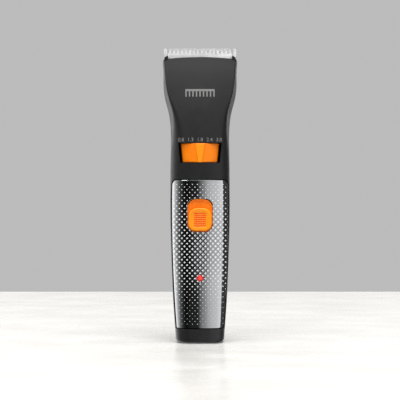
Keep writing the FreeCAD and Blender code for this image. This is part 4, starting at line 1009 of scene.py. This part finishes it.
def make_world():
    """A plain studio: uneven walls and a bright ceiling light the clipper, before a pale backdrop."""
    world = bpy.data.worlds.new("studio")
    bpy.context.scene.world = world
    world.use_nodes = True
    tree = world.node_tree
    background = tree.nodes["Background"]
    place = add(tree, "ShaderNodeTexCoord")
    parts = add(tree, "ShaderNodeSeparateXYZ")
    wire(tree, place, "Generated", parts, "Vector")
    forward = add(tree, "ShaderNodeMath", operation="MULTIPLY")
    forward.inputs[1].default_value = -1.0
    wire(tree, parts, "Y", forward, 0)
    angle = add(tree, "ShaderNodeMath", operation="ARCTAN2")
    wire(tree, parts, "X", angle, 0)
    wire(tree, forward, "Value", angle, 1)
    turn = add(tree, "ShaderNodeMapRange")
    turn.inputs["From Min"].default_value = -math.pi
    turn.inputs["From Max"].default_value = math.pi
    wire(tree, angle, "Value", turn, "Value")
    walls = add(tree, "ShaderNodeValToRGB")
    elements = walls.color_ramp.elements
    while len(elements) > 1:
        elements.remove(elements[-1])
    for index, (degrees, tone) in enumerate(WALL_TONES):
        position = (degrees + 180) / 360
        element = elements[0] if index == 0 else elements.new(position)
        element.position = position
        element.color = (tone, tone, tone, 1.0)
    wire(tree, turn, "Result", walls, "Fac")
    ceiling = add(tree, "ShaderNodeMapRange", interpolation_type="SMOOTHSTEP")
    ceiling.inputs["From Min"].default_value = CEILING_FROM
    ceiling.inputs["From Max"].default_value = CEILING_TO
    wire(tree, parts, "Z", ceiling, "Value")
    blend = add(tree, "ShaderNodeMix", data_type="RGBA")
    tree.links.new(ceiling.outputs["Result"], blend.inputs["Factor"])
    tree.links.new(walls.outputs["Color"], blend.inputs[MIX_A])
    blend.inputs[MIX_B].default_value = (CEILING_TONE, CEILING_TONE, CEILING_TONE, 1.0)
    seen = add(tree, "ShaderNodeLightPath")
    view = add(tree, "ShaderNodeMix", data_type="RGBA")
    tree.links.new(seen.outputs["Is Camera Ray"], view.inputs["Factor"])
    tree.links.new(blend.outputs[MIX_RESULT], view.inputs[MIX_A])
    view.inputs[MIX_B].default_value = (BACKDROP_TONE, BACKDROP_TONE, BACKDROP_TONE, 1.0)
    tree.links.new(view.outputs[MIX_RESULT], background.inputs["Color"])
    background.inputs["Strength"].default_value = 1.0


def make_light(name, place, size, power):
    data = bpy.data.lights.new(name, "AREA")
    data.shape = "RECTANGLE"
    data.size = size
    data.size_y = size
    data.energy = power
    light = bpy.data.objects.new(name, data)
    light.location = place
    aim = Vector((0, 0, 0.1)) - Vector(place)
    light.rotation_euler = aim.to_track_quat("-Z", "Y").to_euler()
    bpy.context.scene.collection.objects.link(light)


def make_camera():
    data = bpy.data.cameras.new("camera")
    data.lens = CAMERA_LENS
    data.sensor_width = 36.0
    camera = bpy.data.objects.new("camera", data)
    camera.location = (0.0, -CAMERA_DISTANCE, CAMERA_HEIGHT)
    camera.rotation_euler = (math.radians(90), 0.0, 0.0)
    bpy.context.scene.collection.objects.link(camera)
    bpy.context.scene.camera = camera


def main():
    bpy.context.scene.view_settings.view_transform = "Standard"
    finish_cad_nodes()
    front_tree = tree_of("front_shell")
    surface = FittedFront(tree_of("front_panel"))
    make_panel(surface)
    make_bezel(surface)
    make_slider()
    make_lens(surface)
    make_dial()
    make_scale(front_tree)
    make_comb_mark(front_tree)
    make_blades()
    make_table()
    make_world()
    make_light("overhead", (0.1, -0.3, 1.0), 0.6, 7.5)
    make_light("key", (-0.55, -0.65, 0.75), 0.5, 3.0)
    make_camera()


main()
